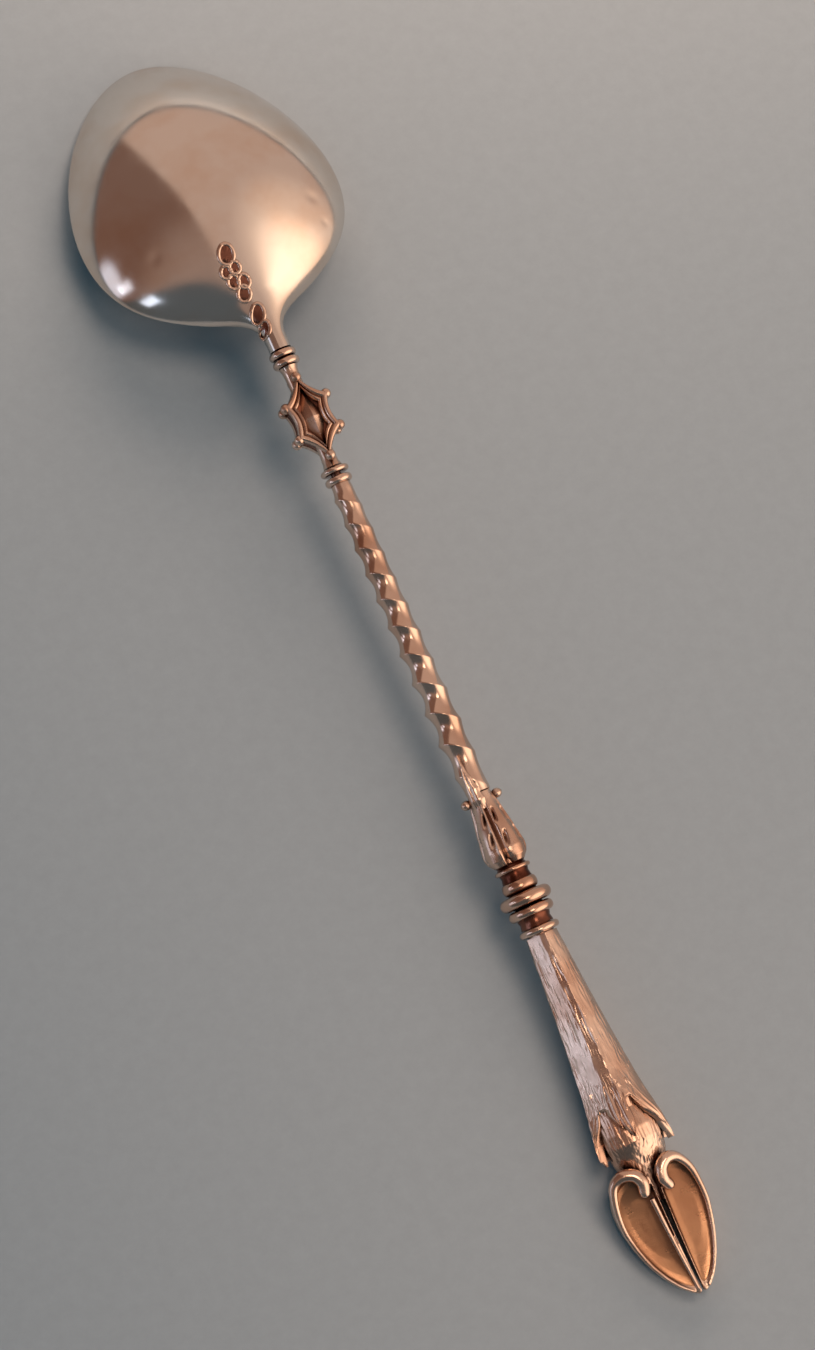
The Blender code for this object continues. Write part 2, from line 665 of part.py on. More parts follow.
def build_baluster(handle, material):
    for name, start, length, diameter, shoulder in (
            ("baluster_fillet", FILLET_START, FILLET_LENGTH, FILLET_DIAMETER, 0.8),
            ("baluster_small_ring", SMALL_RING_START, SMALL_RING_LENGTH, SMALL_RING_DIAMETER, 0.5),
            ("baluster_torus", TORUS_START, TORUS_LENGTH, TORUS_DIAMETER, 0.5),
            ("baluster_end_ring", END_RING_START, END_RING_LENGTH, END_RING_DIAMETER, 0.6)):
        build_ring(name, start, length, diameter, SPINDLE_DIAMETER, shoulder, handle, material)
    bore = SPINDLE_DIAMETER + 2 * SEAM
    bead = ring_shape(LOWER_RING_START, LOWER_RING_LENGTH, LOWER_RING_DIAMETER, bore, 0.55)
    foot = LOWER_RING_START + LOWER_RING_LENGTH
    cavetto = CAVETTO_DIAMETER / 2
    end = foot + CAVETTO_LENGTH
    profile = bead[:-1] + [(foot, cavetto), (end, cavetto), (end, bore / 2)]
    add_piece("baluster_lower_ring", *spun_ring(profile), handle, material)


def leg_point(along, angle, stand_off):
    """A point on the leg's surface or off it. The back carries a ridge, and the belly is round."""
    share = min(max((along - LEG_START) / LEG_LENGTH, 0.0), 1.0) ** LEG_FLARE
    half_width = (LEG_START_WIDTH + (LEG_END_WIDTH - LEG_START_WIDTH) * share) / 2 + stand_off
    half_height = (LEG_START_HEIGHT + (LEG_END_HEIGHT - LEG_START_HEIGHT) * share) / 2 + stand_off
    side = abs(cos(angle))
    rise = sin(angle)
    if rise > 0:
        rise = LEG_RIDGE * (1 - side) + (1 - LEG_RIDGE) * rise
    return at(along, half_width * cos(angle), half_height * rise)


def leg_ring(along, stand_off, scale=1.0):
    turn = 2 * pi / ROUND_SEGMENTS
    ring = [leg_point(along, j * turn, stand_off) for j in range(ROUND_SEGMENTS)]
    return [at(along, scale * p.x, scale * p.z) for p in ring]


def cuff_thickness(along):
    """Thickness of the fur, thin at its roots and full where it leaves the leg."""
    return straight(((CUFF_START, CUFF_ROOT_THICKNESS), (LEG_END, CUFF_THICKNESS)), along)


def build_leg(handle, material):
    """The leg on its spindle. Its end is let in to take the fur flush."""
    bare_steps = 14
    cuff_steps = 4
    spindle = SPINDLE_DIAMETER / 2
    rings = [circle(CALYX_END - SPINDLE_DEPTH, spindle), circle(LEG_START, spindle)]
    for i in range(bare_steps + 1):
        rings.append(leg_ring(LEG_START + (CUFF_START - LEG_START) * i / bare_steps, 0))
    for i in range(cuff_steps + 1):
        along = CUFF_START + (LEG_END - CUFF_START) * i / cuff_steps
        rings.append(leg_ring(along, -cuff_thickness(along) - SEAM))
    leg = add_piece("leg", *loft(rings), handle, material)
    socket = socket_tool("tool_leg_socket", LEG_END - PASTERN_TENON_DEPTH - SEAM, LEG_END + LEG_END_WIDTH,
                         PASTERN_TENON_DIAMETER, handle, material)
    combine(leg, socket, 'DIFFERENCE')


def fur_ring(along, low, high, rise, jag):
    """One section of a lock of fur between two angles round the leg, with a jagged edge."""
    points_across = 9
    outer = []
    inner = []
    for j in range(points_across):
        across = j / (points_across - 1)
        angle = low + (high - low) * across
        place = along + (jag if j % 2 else 0.0)
        thickness = cuff_thickness(along)
        thinning = 0.45 * thickness * (1 - sin(pi * across))
        outer.append(leg_point(place, angle, rise - thinning))
        inner.append(leg_point(place, angle, -thickness))
    return outer + inner[::-1]


def build_fur(handle, material):
    steps = 8
    start = CUFF_START + SEAM
    jag = CUFF_JAG_SHARE * CUFF_LENGTH
    top_edge = ((0.0, radians(84.0)), (0.45, radians(66.0)), (1.0, radians(30.0)))
    low_edge = ((0.0, radians(-70.0)), (0.5, radians(-54.0)), (1.0, radians(-26.0)))
    for name, side in (("fur_cuff_right", 1), ("fur_cuff_left", -1)):
        rings = []
        for i in range(steps + 1):
            share = i / steps
            low = straight(low_edge, share)
            high = straight(top_edge, share)
            if side < 0:
                low, high = pi - low, pi - high
            along = start + share * (CUFF_LENGTH - SEAM - jag)
            rings.append(fur_ring(along, low, high, CUFF_RISE * share, jag * share ** 3))
        add_piece(name, *loft(rings), handle, material)
    rings = []
    tuft_turn = TUFT_WIDTH / LEG_END_HEIGHT
    for i in range(steps + 1):
        share = i / steps
        half = tuft_turn * (0.06 + 0.94 * sin(pi * share) ** 1.2)
        along = LEG_END + (share - TUFT_HOLD_SHARE) * TUFT_LENGTH
        rings.append(fur_ring(along, pi / 2 - half, pi / 2 + half, 0.0, 0.0))
    add_piece("fur_tuft", *loft(rings), handle, material)


def oval(along, half_width, half_height, middle):
    turn = 2 * pi / ROUND_SEGMENTS
    return [at(along, half_width * cos(j * turn), middle + half_height * sin(j * turn))
            for j in range(ROUND_SEGMENTS)]


def build_pastern(handle, material):
    steps = 7
    tenon = PASTERN_TENON_DIAMETER / 2
    rings = [circle(LEG_END - PASTERN_TENON_DEPTH, tenon), circle(PASTERN_START, tenon)]
    for i in range(steps + 1):
        share = i / steps
        fullness = 0.78 + 0.22 * sin(pi * share)
        rings.append(leg_ring(PASTERN_START + share * PASTERN_LENGTH, -CUFF_THICKNESS - SEAM, fullness))
    end = PASTERN_START + PASTERN_LENGTH
    web_middle = -HOOF_BELLY / 2
    web_height = 0.3 * HOOF_BELLY
    rings.append(oval(end, WEB_WIDTH / 2, web_height, web_middle))
    rings.append(oval(end + WEB_LENGTH, WEB_END_WIDTH / 2, web_height, web_middle))
    add_piece("pastern", *loft(rings), handle, material)


def cleft_half(run):
    """Half of the cleft between the claws: clear of the web, and narrow at the toe."""
    return straight(((0.0, WEB_WIDTH / 2 + SEAM), (WEB_LENGTH, WEB_END_WIDTH / 2 + SEAM),
                     (HOOF_LENGTH, CLEFT_TOE_WIDTH / 2)), run)


def claw_outline():
    """Edge of the right-hand claw as (along, x): round heel, full side, pointed toe and straight cleft."""
    half = HOOF_WIDTH / 2
    toe = HOOF_LENGTH
    heel = bezier((0, 0.32 * half), (0, 0.78 * half), (0.52 * HOOF_WIDEST, half), (HOOF_WIDEST, half), 6)
    run = toe - HOOF_WIDEST
    side = bezier((HOOF_WIDEST, half), (HOOF_WIDEST + 0.43 * run, half), (toe - 0.12 * run, 0.5 * half),
                  (toe, cleft_half(toe) + 0.06 * half), 9)
    steps = 7
    places = [toe - 0.94 * toe * i / steps for i in range(steps + 1)]
    return heel + side[1:] + [(place, cleft_half(place)) for place in places]


def claw_top(run):
    return HOOF_HEEL_RISE + (HOOF_TOE_RISE - HOOF_HEEL_RISE) * run / HOOF_LENGTH


def claw_bottom(run):
    toe = HOOF_TOE_RISE - HOOF_TOE_THICKNESS
    share = max(0.0, (run - HOOF_WIDEST) / (HOOF_LENGTH - HOOF_WIDEST))
    return -HOOF_BELLY + (toe + HOOF_BELLY) * share ** 1.5


def claw_ring(side, middle, scale, height_share, drop):
    """The claw's edge drawn in towards its middle, at a share of its height."""
    ring = []
    for along, x in claw_outline():
        run = middle.x + scale * (along - middle.x)
        low = claw_bottom(run)
        height = low + height_share * (claw_top(run) - low) - drop
        ring.append(at(HOOF_START + run, side * (middle.y + scale * (x - middle.y)), height))
    return ring


def build_hoof(handle, material):
    half = HOOF_WIDTH / 2
    middle = Vector((0.36 * HOOF_LENGTH, 0.5 * half))
    rim = 1 - SOLE_RIM / middle.y
    wall = ((0.5, 0.0, 0.0), (0.84, 0.1, 0.0), (1.0, 0.45, 0.0), (0.96, 0.93, 0.0), (0.9, 1.0, 0.0),
            (rim, 0.97, 0.0), (rim - 0.06, 1.0, SOLE_DEPTH), (0.3, 1.0, SOLE_DEPTH))
    bulb = HEEL_BULB_DIAMETER / 2
    for name, side in (("hoof_claw_right", 1), ("hoof_claw_left", -1)):
        rings = [claw_ring(side, middle, *level) for level in wall]
        foot = at(HOOF_START + middle.x, side * middle.y, claw_bottom(middle.x))
        sole = at(HOOF_START + middle.x, side * middle.y, claw_top(middle.x) - SOLE_DEPTH)
        claw = add_piece(name, *dome(rings, foot, sole), handle, material)
        x = cleft_half(0) + 1.1 * bulb
        centre = at(HOOF_START + 1.2 * bulb, side * x, claw_top(0) - 0.5 * bulb)
        combine(claw, build_bead(f"tool_{name}_bulb", centre, bulb, handle, material), 'UNION')


def main():
    clear_scene()
    polished = silver("polished_silver", (0.83, 0.80, 0.76), 0.16)
    chased = silver("chased_silver", (0.74, 0.69, 0.63), 0.32)
    plane = empty("bowl_plane", (0, BOWL_TIP_Y, 0), (-BOWL_PITCH, 0, 0))
    handle = empty("handle_axis", (0, NECK_END_Y, NECK_HEIGHT), (HANDLE_SLOPE, 0, 0))
    build_bowl(plane, handle, polished)
    build_neck_rings(handle, polished)
    build_cartouche(handle, chased)
    build_collar(handle, polished)
    build_stem(handle, polished)
    build_calyx(handle, chased)
    build_baluster(handle, polished)
    build_leg(handle, chased)
    build_fur(handle, chased)
    build_pastern(handle, chased)
    build_hoof(handle, polished)


main()
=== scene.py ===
from math import asin, atan2, cos, hypot, pi, radians, sin, tan
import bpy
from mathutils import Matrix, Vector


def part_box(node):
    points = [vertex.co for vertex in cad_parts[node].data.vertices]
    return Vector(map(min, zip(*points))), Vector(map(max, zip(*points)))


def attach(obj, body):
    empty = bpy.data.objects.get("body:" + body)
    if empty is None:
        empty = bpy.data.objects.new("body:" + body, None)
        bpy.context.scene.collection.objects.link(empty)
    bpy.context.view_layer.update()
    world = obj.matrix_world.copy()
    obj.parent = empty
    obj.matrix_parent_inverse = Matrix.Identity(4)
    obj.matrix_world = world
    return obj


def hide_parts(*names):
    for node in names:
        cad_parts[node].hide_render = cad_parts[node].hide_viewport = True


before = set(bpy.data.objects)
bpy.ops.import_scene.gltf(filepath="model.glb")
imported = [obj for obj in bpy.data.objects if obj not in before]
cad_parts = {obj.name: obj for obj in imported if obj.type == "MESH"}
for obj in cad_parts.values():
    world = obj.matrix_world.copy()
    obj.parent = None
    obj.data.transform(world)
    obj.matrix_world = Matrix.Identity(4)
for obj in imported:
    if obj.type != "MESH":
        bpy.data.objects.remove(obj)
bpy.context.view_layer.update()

from types import SimpleNamespace

import bmesh
import bpy
import numpy as np
from bpy.props import FloatProperty, FloatVectorProperty, PointerProperty
from mathutils import Matrix, Vector, noise

bl_info = {
    "name": "Hoof-ended demitasse spoon",
    "version": (1, 0, 0),
    "blender": (4, 5, 0),
    "location": "3D View > Sidebar > Spoon",
    "description": "Dresses the spoon's solids in finely worked old silver and sets the stage for it",
    "category": "Object",
}

MM = 0.001
BODY = "root"
BOWL_TIP_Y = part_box("bowl")[1].y


def linear(code):
    """Linear colour, with full cover, of an sRGB hex value."""
    shares = [int(code[i:i + 2], 16) / 255 for i in (1, 3, 5)]
    return tuple(c / 12.92 if c <= 0.04045 else ((c + 0.055) / 1.055) ** 2.4 for c in shares) + (1.0,)


def length(label, words, millimetres):
    """A size that the user sets."""
    return FloatProperty(name=label, description=words, default=millimetres * MM, min=0.0, unit='LENGTH')


def angle(label, words, degrees):
    """An angle that the user sets."""
    return FloatProperty(name=label, description=words, default=radians(degrees), subtype='ANGLE')


def share(label, words, value):
    """A plain number that the user sets."""
    return FloatProperty(name=label, description=words, default=value, min=0.0, subtype='FACTOR')


def colour(label, words, code):
    """A colour that the user sets."""
    return FloatVectorProperty(name=label, description=words, default=linear(code), size=4, subtype='COLOR',
                               min=0.0, max=1.0)


class BowlSizes(bpy.types.PropertyGroup):
    length: length("Length", "From the tip to the neck's end, in the plane of the rim", 28.75)
    width: length("Width", "Across the rim", 21.9)
    widest: length("Widest place", "Distance of the widest place from the tip", 15.0)
    depth: length("Depth", "Height of the back over the rim", 6.3)
    deepest: length("Deepest place", "Distance of the deepest place from the tip", 13.8)
    wall: length("Wall", "Thickness of the silver", 0.75)
    rim: length("Rim", "Width of the flat rim", 0.85)
    heel: length("Heel", "Solid silver between the hollow and the neck's end", 4.2)
    neck: length("Neck", "Diameter of the neck", 1.8)
    neck_run: length("Neck run", "Bare length of the neck", 1.2)
    pitch: angle("Pitch", "Tilt of the rim's plane with the tip down", 12.0)


class HandleSizes(bpy.types.PropertyGroup):
    cartouche_length: length("Cartouche length", "Between its end beads", 6.8)
    cartouche_width: length("Cartouche width", "Between its side beads", 3.56)
    cartouche_side: length("Cartouche side", "Between the two beads of one side", 2.72)
    cartouche_thickness: length("Cartouche thickness", "Of its plate", 1.5)
    bead: length("Bead", "Diameter of a cartouche bead", 0.76)
    stem_length: length("Stem length", "Of the twisted run", 26.3)
    stem_start: length("Stem start", "Diameter in the hollows at the bowl's end", 1.6)
    stem_end: length("Stem end", "Diameter in the hollows at the hoof's end", 1.95)
    crest_start: length("First crest", "Height of the crest at the bowl's end", 0.2)
    crest: length("Crest", "Full height of the crest", 0.5)
    pitch_start: length("First pitch", "Pitch of the twist at the bowl's end", 2.0)
    pitch_end: length("Last pitch", "Pitch of the twist at the hoof's end", 3.0)
    crest_angle: angle("Crest angle", "Where the crest starts", 327.0)
    calyx: length("Calyx", "Diameter over its leaves", 3.6)
    torus: length("Torus", "Diameter of the baluster's largest ring", 4.25)


class LegSizes(bpy.types.PropertyGroup):
    start_width: length("Ankle width", "Width at the baluster", 2.6)
    end_width: length("Cuff width", "Width where the fur ends", 5.4)
    start_height: length("Ankle height", "Height at the baluster", 2.55)
    end_height: length("Cuff height", "Height where the fur ends", 4.3)
    flare: share("Flare", "How late the leg widens", 1.3)
    hair: length("Hair", "Depth of the chased hair", 0.06)
    hoof_length: length("Hoof length", "From heel to toe", 10.6)
    hoof_width: length("Hoof width", "Across both claws", 6.8)
    hoof_widest: length("Hoof's widest place", "Distance from the heel", 2.9)
    belly: length("Belly", "Depth of the hoof under the handle's axis", 1.9)


class FinishColours(bpy.types.PropertyGroup):
    silver: colour("Silver", "Clean, buffed sterling silver", "#E6DED6")
    toned: colour("Toned silver", "Silver under a thin warm film", "#DCC6B4")
    worked: colour("Worked silver", "Cast and twisted silver where hands rub it", "#E8CFBE")
    filmed: colour("Filmed silver", "Cast and twisted silver under an older film", "#C99E85")
    ground: colour("Toned ground", "Sunk ground that is never rubbed", "#936656")
    sole: colour("Sole", "Scraped silver in the hollow of the hoof", "#AE876A")
    sole_film: colour("Sole film", "The same under an older film", "#8D634B")
    # Recess colour: brown tarnish, which the occlusion mask in old_silver also lays down as painted shade in every
    # recess
    tarnish_and_shade: colour("Tarnish", "Brown sulphide in the recesses", "#4E261B")
    paper: colour("Paper", "Pale blue-grey paper under the spoon", "#9A9DA5")
    fleck: colour("Fleck", "Dark fibres in the paper", "#83868B")


class StageSettings(bpy.types.PropertyGroup):
    azimuth: angle("Azimuth", "Camera's turn about the spoon", -54.447)
    elevation: angle("Elevation", "Camera's height over the paper", 74.523)
    roll: angle("Roll", "Camera's turn about its own axis", -24.752)
    distance: length("Distance", "From the camera to its target", 267.64)
    warm: colour("Wall", "Warm lit wall and ceiling on the right", "#C5A898")
    shade: colour("Shade", "Dark brown side of the room on the left", "#7C5F53")
    haze: colour("Haze", "Paler part of that side, overhead", "#A08578")
    dusk: colour("Dusk", "Cool dark part of the room nearest the viewer", "#585C5F")
    lamp: colour("Lamp", "Warm lamp low on the right", "#FFE0C4")
    window: colour("Window", "Cool daylight low on the left", "#D6E6FF")
    key: colour("Key light", "Light on the paper, from overhead, from beyond the bowl and from the right", "#FFE5CB")
    ambient: colour("Ambient light", "Cool light that fills the shadows", "#3A6F7E")
    backdrop: colour("Backdrop", "Pale wall behind the paper", "#B9B2AB")


# Shapes. All of them are worked out in millimetres, as (x, distance along, height)

def full_turn(count):
    """Angles of a full turn, in even steps."""
    return np.linspace(0, 2 * pi, count, endpoint=False)


def ring(radius, turn, along):
    """Points round the handle's axis, at one place along it."""
    return np.c_[radius * np.cos(turn), np.full(len(turn), along), radius * np.sin(turn)]


def bezier(corners, count):
    """Points on a cubic curve, from its four control points."""
    t = np.linspace(0.0, 1.0, count)[:, None]
    a, b, c, d = (np.array(corner, float) for corner in corners)
    return (1 - t) ** 3 * a + 3 * (1 - t) ** 2 * t * b + 3 * (1 - t) * t * t * c + t ** 3 * d


def ease(low, high, value):
    """Smooth step from 0 at low to 1 at high."""
    part = np.clip((value - low) / (high - low), 0.0, 1.0)
    return part * part * (3 - 2 * part)


def smooth_path(knots, count):
    """Points on a smooth curve through some knots."""
    knots = np.array(knots, float)
    padded = np.vstack([2 * knots[0] - knots[1], knots, 2 * knots[-1] - knots[-2]])
    places = np.linspace(0, len(knots) - 1, count)
    first = np.minimum(places.astype(int), len(knots) - 2)
    t = (places - first)[:, None]
    a, b, c, d = (padded[first + k] for k in range(4))
    return 0.5 * (2 * b + (c - a) * t + (2 * a - 5 * b + 4 * c - d) * t ** 2 + (3 * b - a - 3 * c + d) * t ** 3)


def quads(rows, columns, wrap_rows=False):
    """Corner numbers of the faces between the points of a grid whose rows are closed rings."""
    i = np.arange(rows if wrap_rows else rows - 1)[:, None]
    j = np.arange(columns)[None, :]
    here = i * columns
    there = (i + 1) % rows * columns
    onward = (j + 1) % columns
    corners = np.broadcast_arrays(here + j, here + onward, there + onward, there + j)
    return np.stack(corners, -1).reshape(-1, 4).tolist()


def skin(rings, closed=False):
    """A shell over a stack of rings. An open stack is closed by a point at each end."""
    rings = np.array(rings, float)
    rows, columns, _ = rings.shape
    faces = quads(rows, columns, closed)
    points = rings.reshape(-1, 3)
    if not closed:
        first = rows * columns
        points = np.vstack([points, rings[0].mean(0), rings[-1].mean(0)])
        last_ring = (rows - 1) * columns
        for j in range(columns):
            k = (j + 1) % columns
            faces.append((k, j, first))
            faces.append((last_ring + j, last_ring + k, first + 1))
    return points, faces


def lathe(profile, segments=72):
    """A ring spun about the handle's axis from a closed profile of (along, radius) points."""
    along, radius = np.array(profile, float).T
    return skin([np.c_[radius * cos(t), along, radius * sin(t)] for t in full_turn(segments)], closed=True)


def tube(path, radii, sides=20):
    """A round rod along a path, with its own radius at each point."""
    path = np.array(path, float)
    heading = np.gradient(path, axis=0)
    heading /= np.linalg.norm(heading, axis=1)[:, None]
    side = np.cross(heading[0], (0.0, 0.0, 1.0))
    if np.linalg.norm(side) < 0.1:
        side = np.cross(heading[0], (1.0, 0.0, 0.0))
    turn = full_turn(sides)[:, None]
    rings = []
    for point, ahead, radius in zip(path, heading, radii):
        side = side - ahead * side.dot(ahead)
        side /= np.linalg.norm(side)
        rise = np.cross(side, ahead)
        rings.append(point + radius * (np.cos(turn) * side + np.sin(turn) * rise))
    return skin(rings)


def ball(centre, radius, stretch=(1.0, 1.0, 1.0)):
    """A round or stretched bead."""
    rings = 14
    turn = full_turn(24)
    points, faces = skin([np.c_[np.cos(turn) * sin(tilt), np.sin(turn) * sin(tilt), np.full(len(turn), cos(tilt))]
                          for tilt in np.linspace(0, pi, rings + 2)[1:-1]])
    points[-2:] = (0, 0, 1), (0, 0, -1)
    return points * radius * np.array(stretch) + np.array(centre, float), faces


def gather(shells):
    """Several shells as one list of points and faces."""
    points = []
    faces = []
    start = 0
    for shell_points, shell_faces in shells:
        points.append(shell_points)
        faces += [tuple(corner + start for corner in face) for face in shell_faces]
        start += len(shell_points)
    return np.vstack(points), faces


def cast(shells, grain, rounds):
    """Melts shells into one body, as in a mould, and eases its surface."""
    points, faces = gather(shells)
    mesh = bpy.data.meshes.new("melt")
    mesh.from_pydata(points.tolist(), [], faces)
    turn_outwards(mesh)
    melt = bpy.data.objects.new("melt", mesh)
    bpy.context.scene.collection.objects.link(melt)
    remesh = melt.modifiers.new("melt", 'REMESH')
    remesh.mode = 'VOXEL'
    remesh.voxel_size = grain
    smooth = melt.modifiers.new("ease", 'SMOOTH')
    smooth.factor = 0.5
    smooth.iterations = rounds
    solid = bpy.data.meshes.new_from_object(melt.evaluated_get(bpy.context.evaluated_depsgraph_get()))
    flat = np.empty(len(solid.vertices) * 3)
    solid.vertices.foreach_get("co", flat)
    cast_faces = [tuple(face.vertices) for face in solid.polygons]
    bpy.data.objects.remove(melt)
    bpy.data.meshes.remove(mesh)
    bpy.data.meshes.remove(solid)
    return flat.reshape(-1, 3), cast_faces


def turn_outwards(mesh):
    """Turns each shell's faces outwards."""
    tidy = bmesh.new()
    tidy.from_mesh(mesh)
    bmesh.ops.recalc_face_normals(tidy, faces=tidy.faces)
    tidy.to_mesh(mesh)
    tidy.free()


def piece(name, shells, place, material, nodes, sharp=radians(50.0)):
    """One finished piece on the spoon's body, which stands for some CAD nodes."""
    points, faces = gather(shells)
    mesh = bpy.data.meshes.new(name)
    mesh.from_pydata((points * (1, -1, 1) * MM).tolist(), [], faces)
    mesh.transform(place)
    turn_outwards(mesh)
    mesh.shade_smooth()
    mesh.set_sharp_from_angle(angle=sharp)
    mesh.materials.append(material)
    obj = bpy.data.objects.new(name, mesh)
    bpy.context.scene.collection.objects.link(obj)
    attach(obj, BODY)
    if nodes:
        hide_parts(*nodes)
    return obj


def in_mm(group):
    """A group's lengths in millimetres, and its other values as they are."""
    values = {}
    for key in group.__annotations__:
        prop = group.bl_rna.properties[key]
        value = getattr(group, key)
        values[key] = value / MM if prop.unit == 'LENGTH' else value
    return SimpleNamespace(**values)


def bowl_place(scene):
    """Where the bowl lies: its tip on the paper and its rim tilted."""
    return Matrix.Translation((0, BOWL_TIP_Y, 0)) @ Matrix.Rotation(-scene.spoon_bowl.pitch, 4, 'X')


def handle_slope(scene):
    """Fall of the handle from the neck, which brings the hoof's belly down to the paper."""
    b = in_mm(scene.spoon_bowl)
    g = in_mm(scene.spoon_leg)
    contact = stations(in_mm(scene.spoon_handle)).hoof + g.hoof_widest
    return asin(b.length * sin(b.pitch) / hypot(contact, g.belly)) - atan2(g.belly, contact)


def handle_place(scene):
    """Where the handle lies: from the neck's end down to the paper."""
    bowl = scene.spoon_bowl
    neck_end = (0, BOWL_TIP_Y - bowl.length * cos(bowl.pitch), bowl.length * sin(bowl.pitch))
    return Matrix.Translation(neck_end) @ Matrix.Rotation(handle_slope(scene), 4, 'X')


def stations(handle):
    """Places along the handle's axis, from the neck's end. Each step is a piece's length with its seam."""
    s = SimpleNamespace(neck_rings=(0.1, 0.82), cartouche=1.52)
    s.middle = s.cartouche + 1.15 + handle.cartouche_length / 2
    s.cartouche_end = s.middle + handle.cartouche_length / 2 + 0.8
    s.flange = s.cartouche_end + 0.1
    s.barrel = s.flange + 0.75
    s.stem = s.barrel + 0.98
    s.stem_end = s.stem + handle.stem_length
    s.calyx = s.stem_end + 0.1
    s.calyx_end = s.calyx + 6.0
    s.fillet = s.calyx_end + 0.3
    s.small_ring = s.fillet + 1.09
    s.torus = s.small_ring + 1.05
    s.lower_ring = s.torus + 1.15
    s.end_ring = s.lower_ring + 1.7
    s.leg = s.end_ring + 0.7
    s.leg_end = s.leg + 16.0
    s.hoof = s.leg_end + 3.5
    return s


def handle_work(scene):
    """What the handle's makers need: sizes of the handle and the leg, the stations and where it lies."""
    h = in_mm(scene.spoon_handle)
    return h, in_mm(scene.spoon_leg), stations(h), handle_place(scene)


# Finishes

def node(tree, kind, links=(), **settings):
    """Adds a node with its settings. Each link pairs a socket with a value or with another node's output."""
    new = tree.nodes.new(kind)
    for key, value in settings.items():
        setattr(new, key, value)
    for socket, value in links:
        if isinstance(value, bpy.types.NodeSocket):
            tree.links.new(value, new.inputs[socket])
        else:
            new.inputs[socket].default_value = value
    return new


def per_mm(size):
    """Noise scale that gives features of a size in millimetres, in metre coordinates."""
    return 1.0 / (size * MM)


def old_silver(name, colours, clean, film_tone, polish, wear, scratch, recess, relief, stretch=(1.0, 1.0, 1.0)):
    """Sterling silver worked long ago: bright where hands rub it, with a warm film and brown recesses of tarnish and
    painted shade.

    Polish and wear are the lowest and highest roughness. Scratch and recess are sizes in millimetres."""
    material = bpy.data.materials.new(name)
    material.use_nodes = True
    tree = material.node_tree
    shader = tree.nodes["Principled BSDF"]
    shader.inputs["Metallic"].default_value = 1.0
    place = node(tree, "ShaderNodeTexCoord").outputs["Object"]
    # Patches of film, about 6 mm across
    film = node(tree, "ShaderNodeTexNoise", (("Vector", place), ("Scale", per_mm(6.0)), ("Detail", 4.0)))
    film_cover = node(tree, "ShaderNodeMapRange", (("Value", film.outputs["Fac"]), ("From Min", 0.42),
                                                    ("From Max", 0.72)))
    toned = node(tree, "ShaderNodeMix", ((0, film_cover.outputs[0]), (6, getattr(colours, clean)),
                                          (7, getattr(colours, film_tone))), data_type='RGBA')
    # Brown tarnish stays where hands and cloths don't reach; this occlusion mask also paints shade into the recesses
    shelter_and_shade = node(tree, "ShaderNodeAmbientOcclusion", (("Distance", recess * MM),), samples=8)
    rubbed_and_unshaded = node(tree, "ShaderNodeMapRange", (("Value", shelter_and_shade.outputs["AO"]), ("From Min", 0.22),
                                                ("From Max", 0.85)))
    metal = node(tree, "ShaderNodeMix", ((0, rubbed_and_unshaded.outputs[0]), (6, colours.tarnish_and_shade), (7, toned.outputs[2])),
                 data_type='RGBA')
    tree.links.new(metal.outputs[2], shader.inputs["Base Color"])
    # Patches of rubbing, about 2 mm across
    rub = node(tree, "ShaderNodeTexNoise", (("Vector", place), ("Scale", per_mm(2.2)), ("Detail", 6.0)))
    rough = node(tree, "ShaderNodeMapRange", (("Value", rub.outputs["Fac"]), ("From Min", 0.3), ("From Max", 0.7),
                                               ("To Min", polish), ("To Max", wear)))
    tree.links.new(rough.outputs[0], shader.inputs["Roughness"])
    # Real scratches are too fine to show, so these are drawn as coarse as they need to show
    stretched = node(tree, "ShaderNodeMapping", (("Vector", place), ("Scale", stretch)))
    lines = node(tree, "ShaderNodeTexNoise", (("Vector", stretched.outputs[0]), ("Scale", per_mm(scratch)),
                                               ("Detail", 5.0), ("Roughness", 0.65)))
    bump = node(tree, "ShaderNodeBump", (("Height", lines.outputs["Fac"]), ("Strength", relief),
                                          ("Distance", 0.02 * MM)))
    tree.links.new(bump.outputs[0], shader.inputs["Normal"])
    return material


FINISHES = {
    # Buffed with rouge: a clear mirror, dulled a little by cleaning
    "buffed_sterling_silver": dict(clean="silver", film_tone="toned", polish=0.1, wear=0.18, scratch=0.25,
                                   recess=0.4, relief=0.04),
    # Drawn and turned wire: bright crests, and brown grooves that are tarnish and painted shade
    "drawn_sterling_silver": dict(clean="worked", film_tone="filmed", polish=0.14, wear=0.24, scratch=0.15,
                                  recess=1.1, relief=0.1),
    # Sunk ground left dark when the rest was rubbed bright: red-brown and half dull
    "toned_sterling_silver": dict(clean="ground", film_tone="tarnish_and_shade", polish=0.2, wear=0.34, scratch=0.15,
                                  recess=1.0, relief=0.15),
    # Soles scraped across and never buffed: brown, satin, with fine cross lines
    "scraped_sterling_silver": dict(clean="sole", film_tone="sole_film", polish=0.22, wear=0.36, scratch=0.2,
                                    recess=2.4, relief=0.4, stretch=(0.1, 1.0, 1.0)),
    # Cast and chased by hand: satin, with hair lines along the leg
    "cast_sterling_silver": dict(clean="worked", film_tone="filmed", polish=0.18, wear=0.34, scratch=0.12,
                                 recess=1.0, relief=0.3, stretch=(1.0, 0.12, 1.0)),
}


def finish(name, scene):
    """A named finish, made once."""
    return bpy.data.materials.get(name) or old_silver(name, scene.spoon_finish, **FINISHES[name])


# Bowl

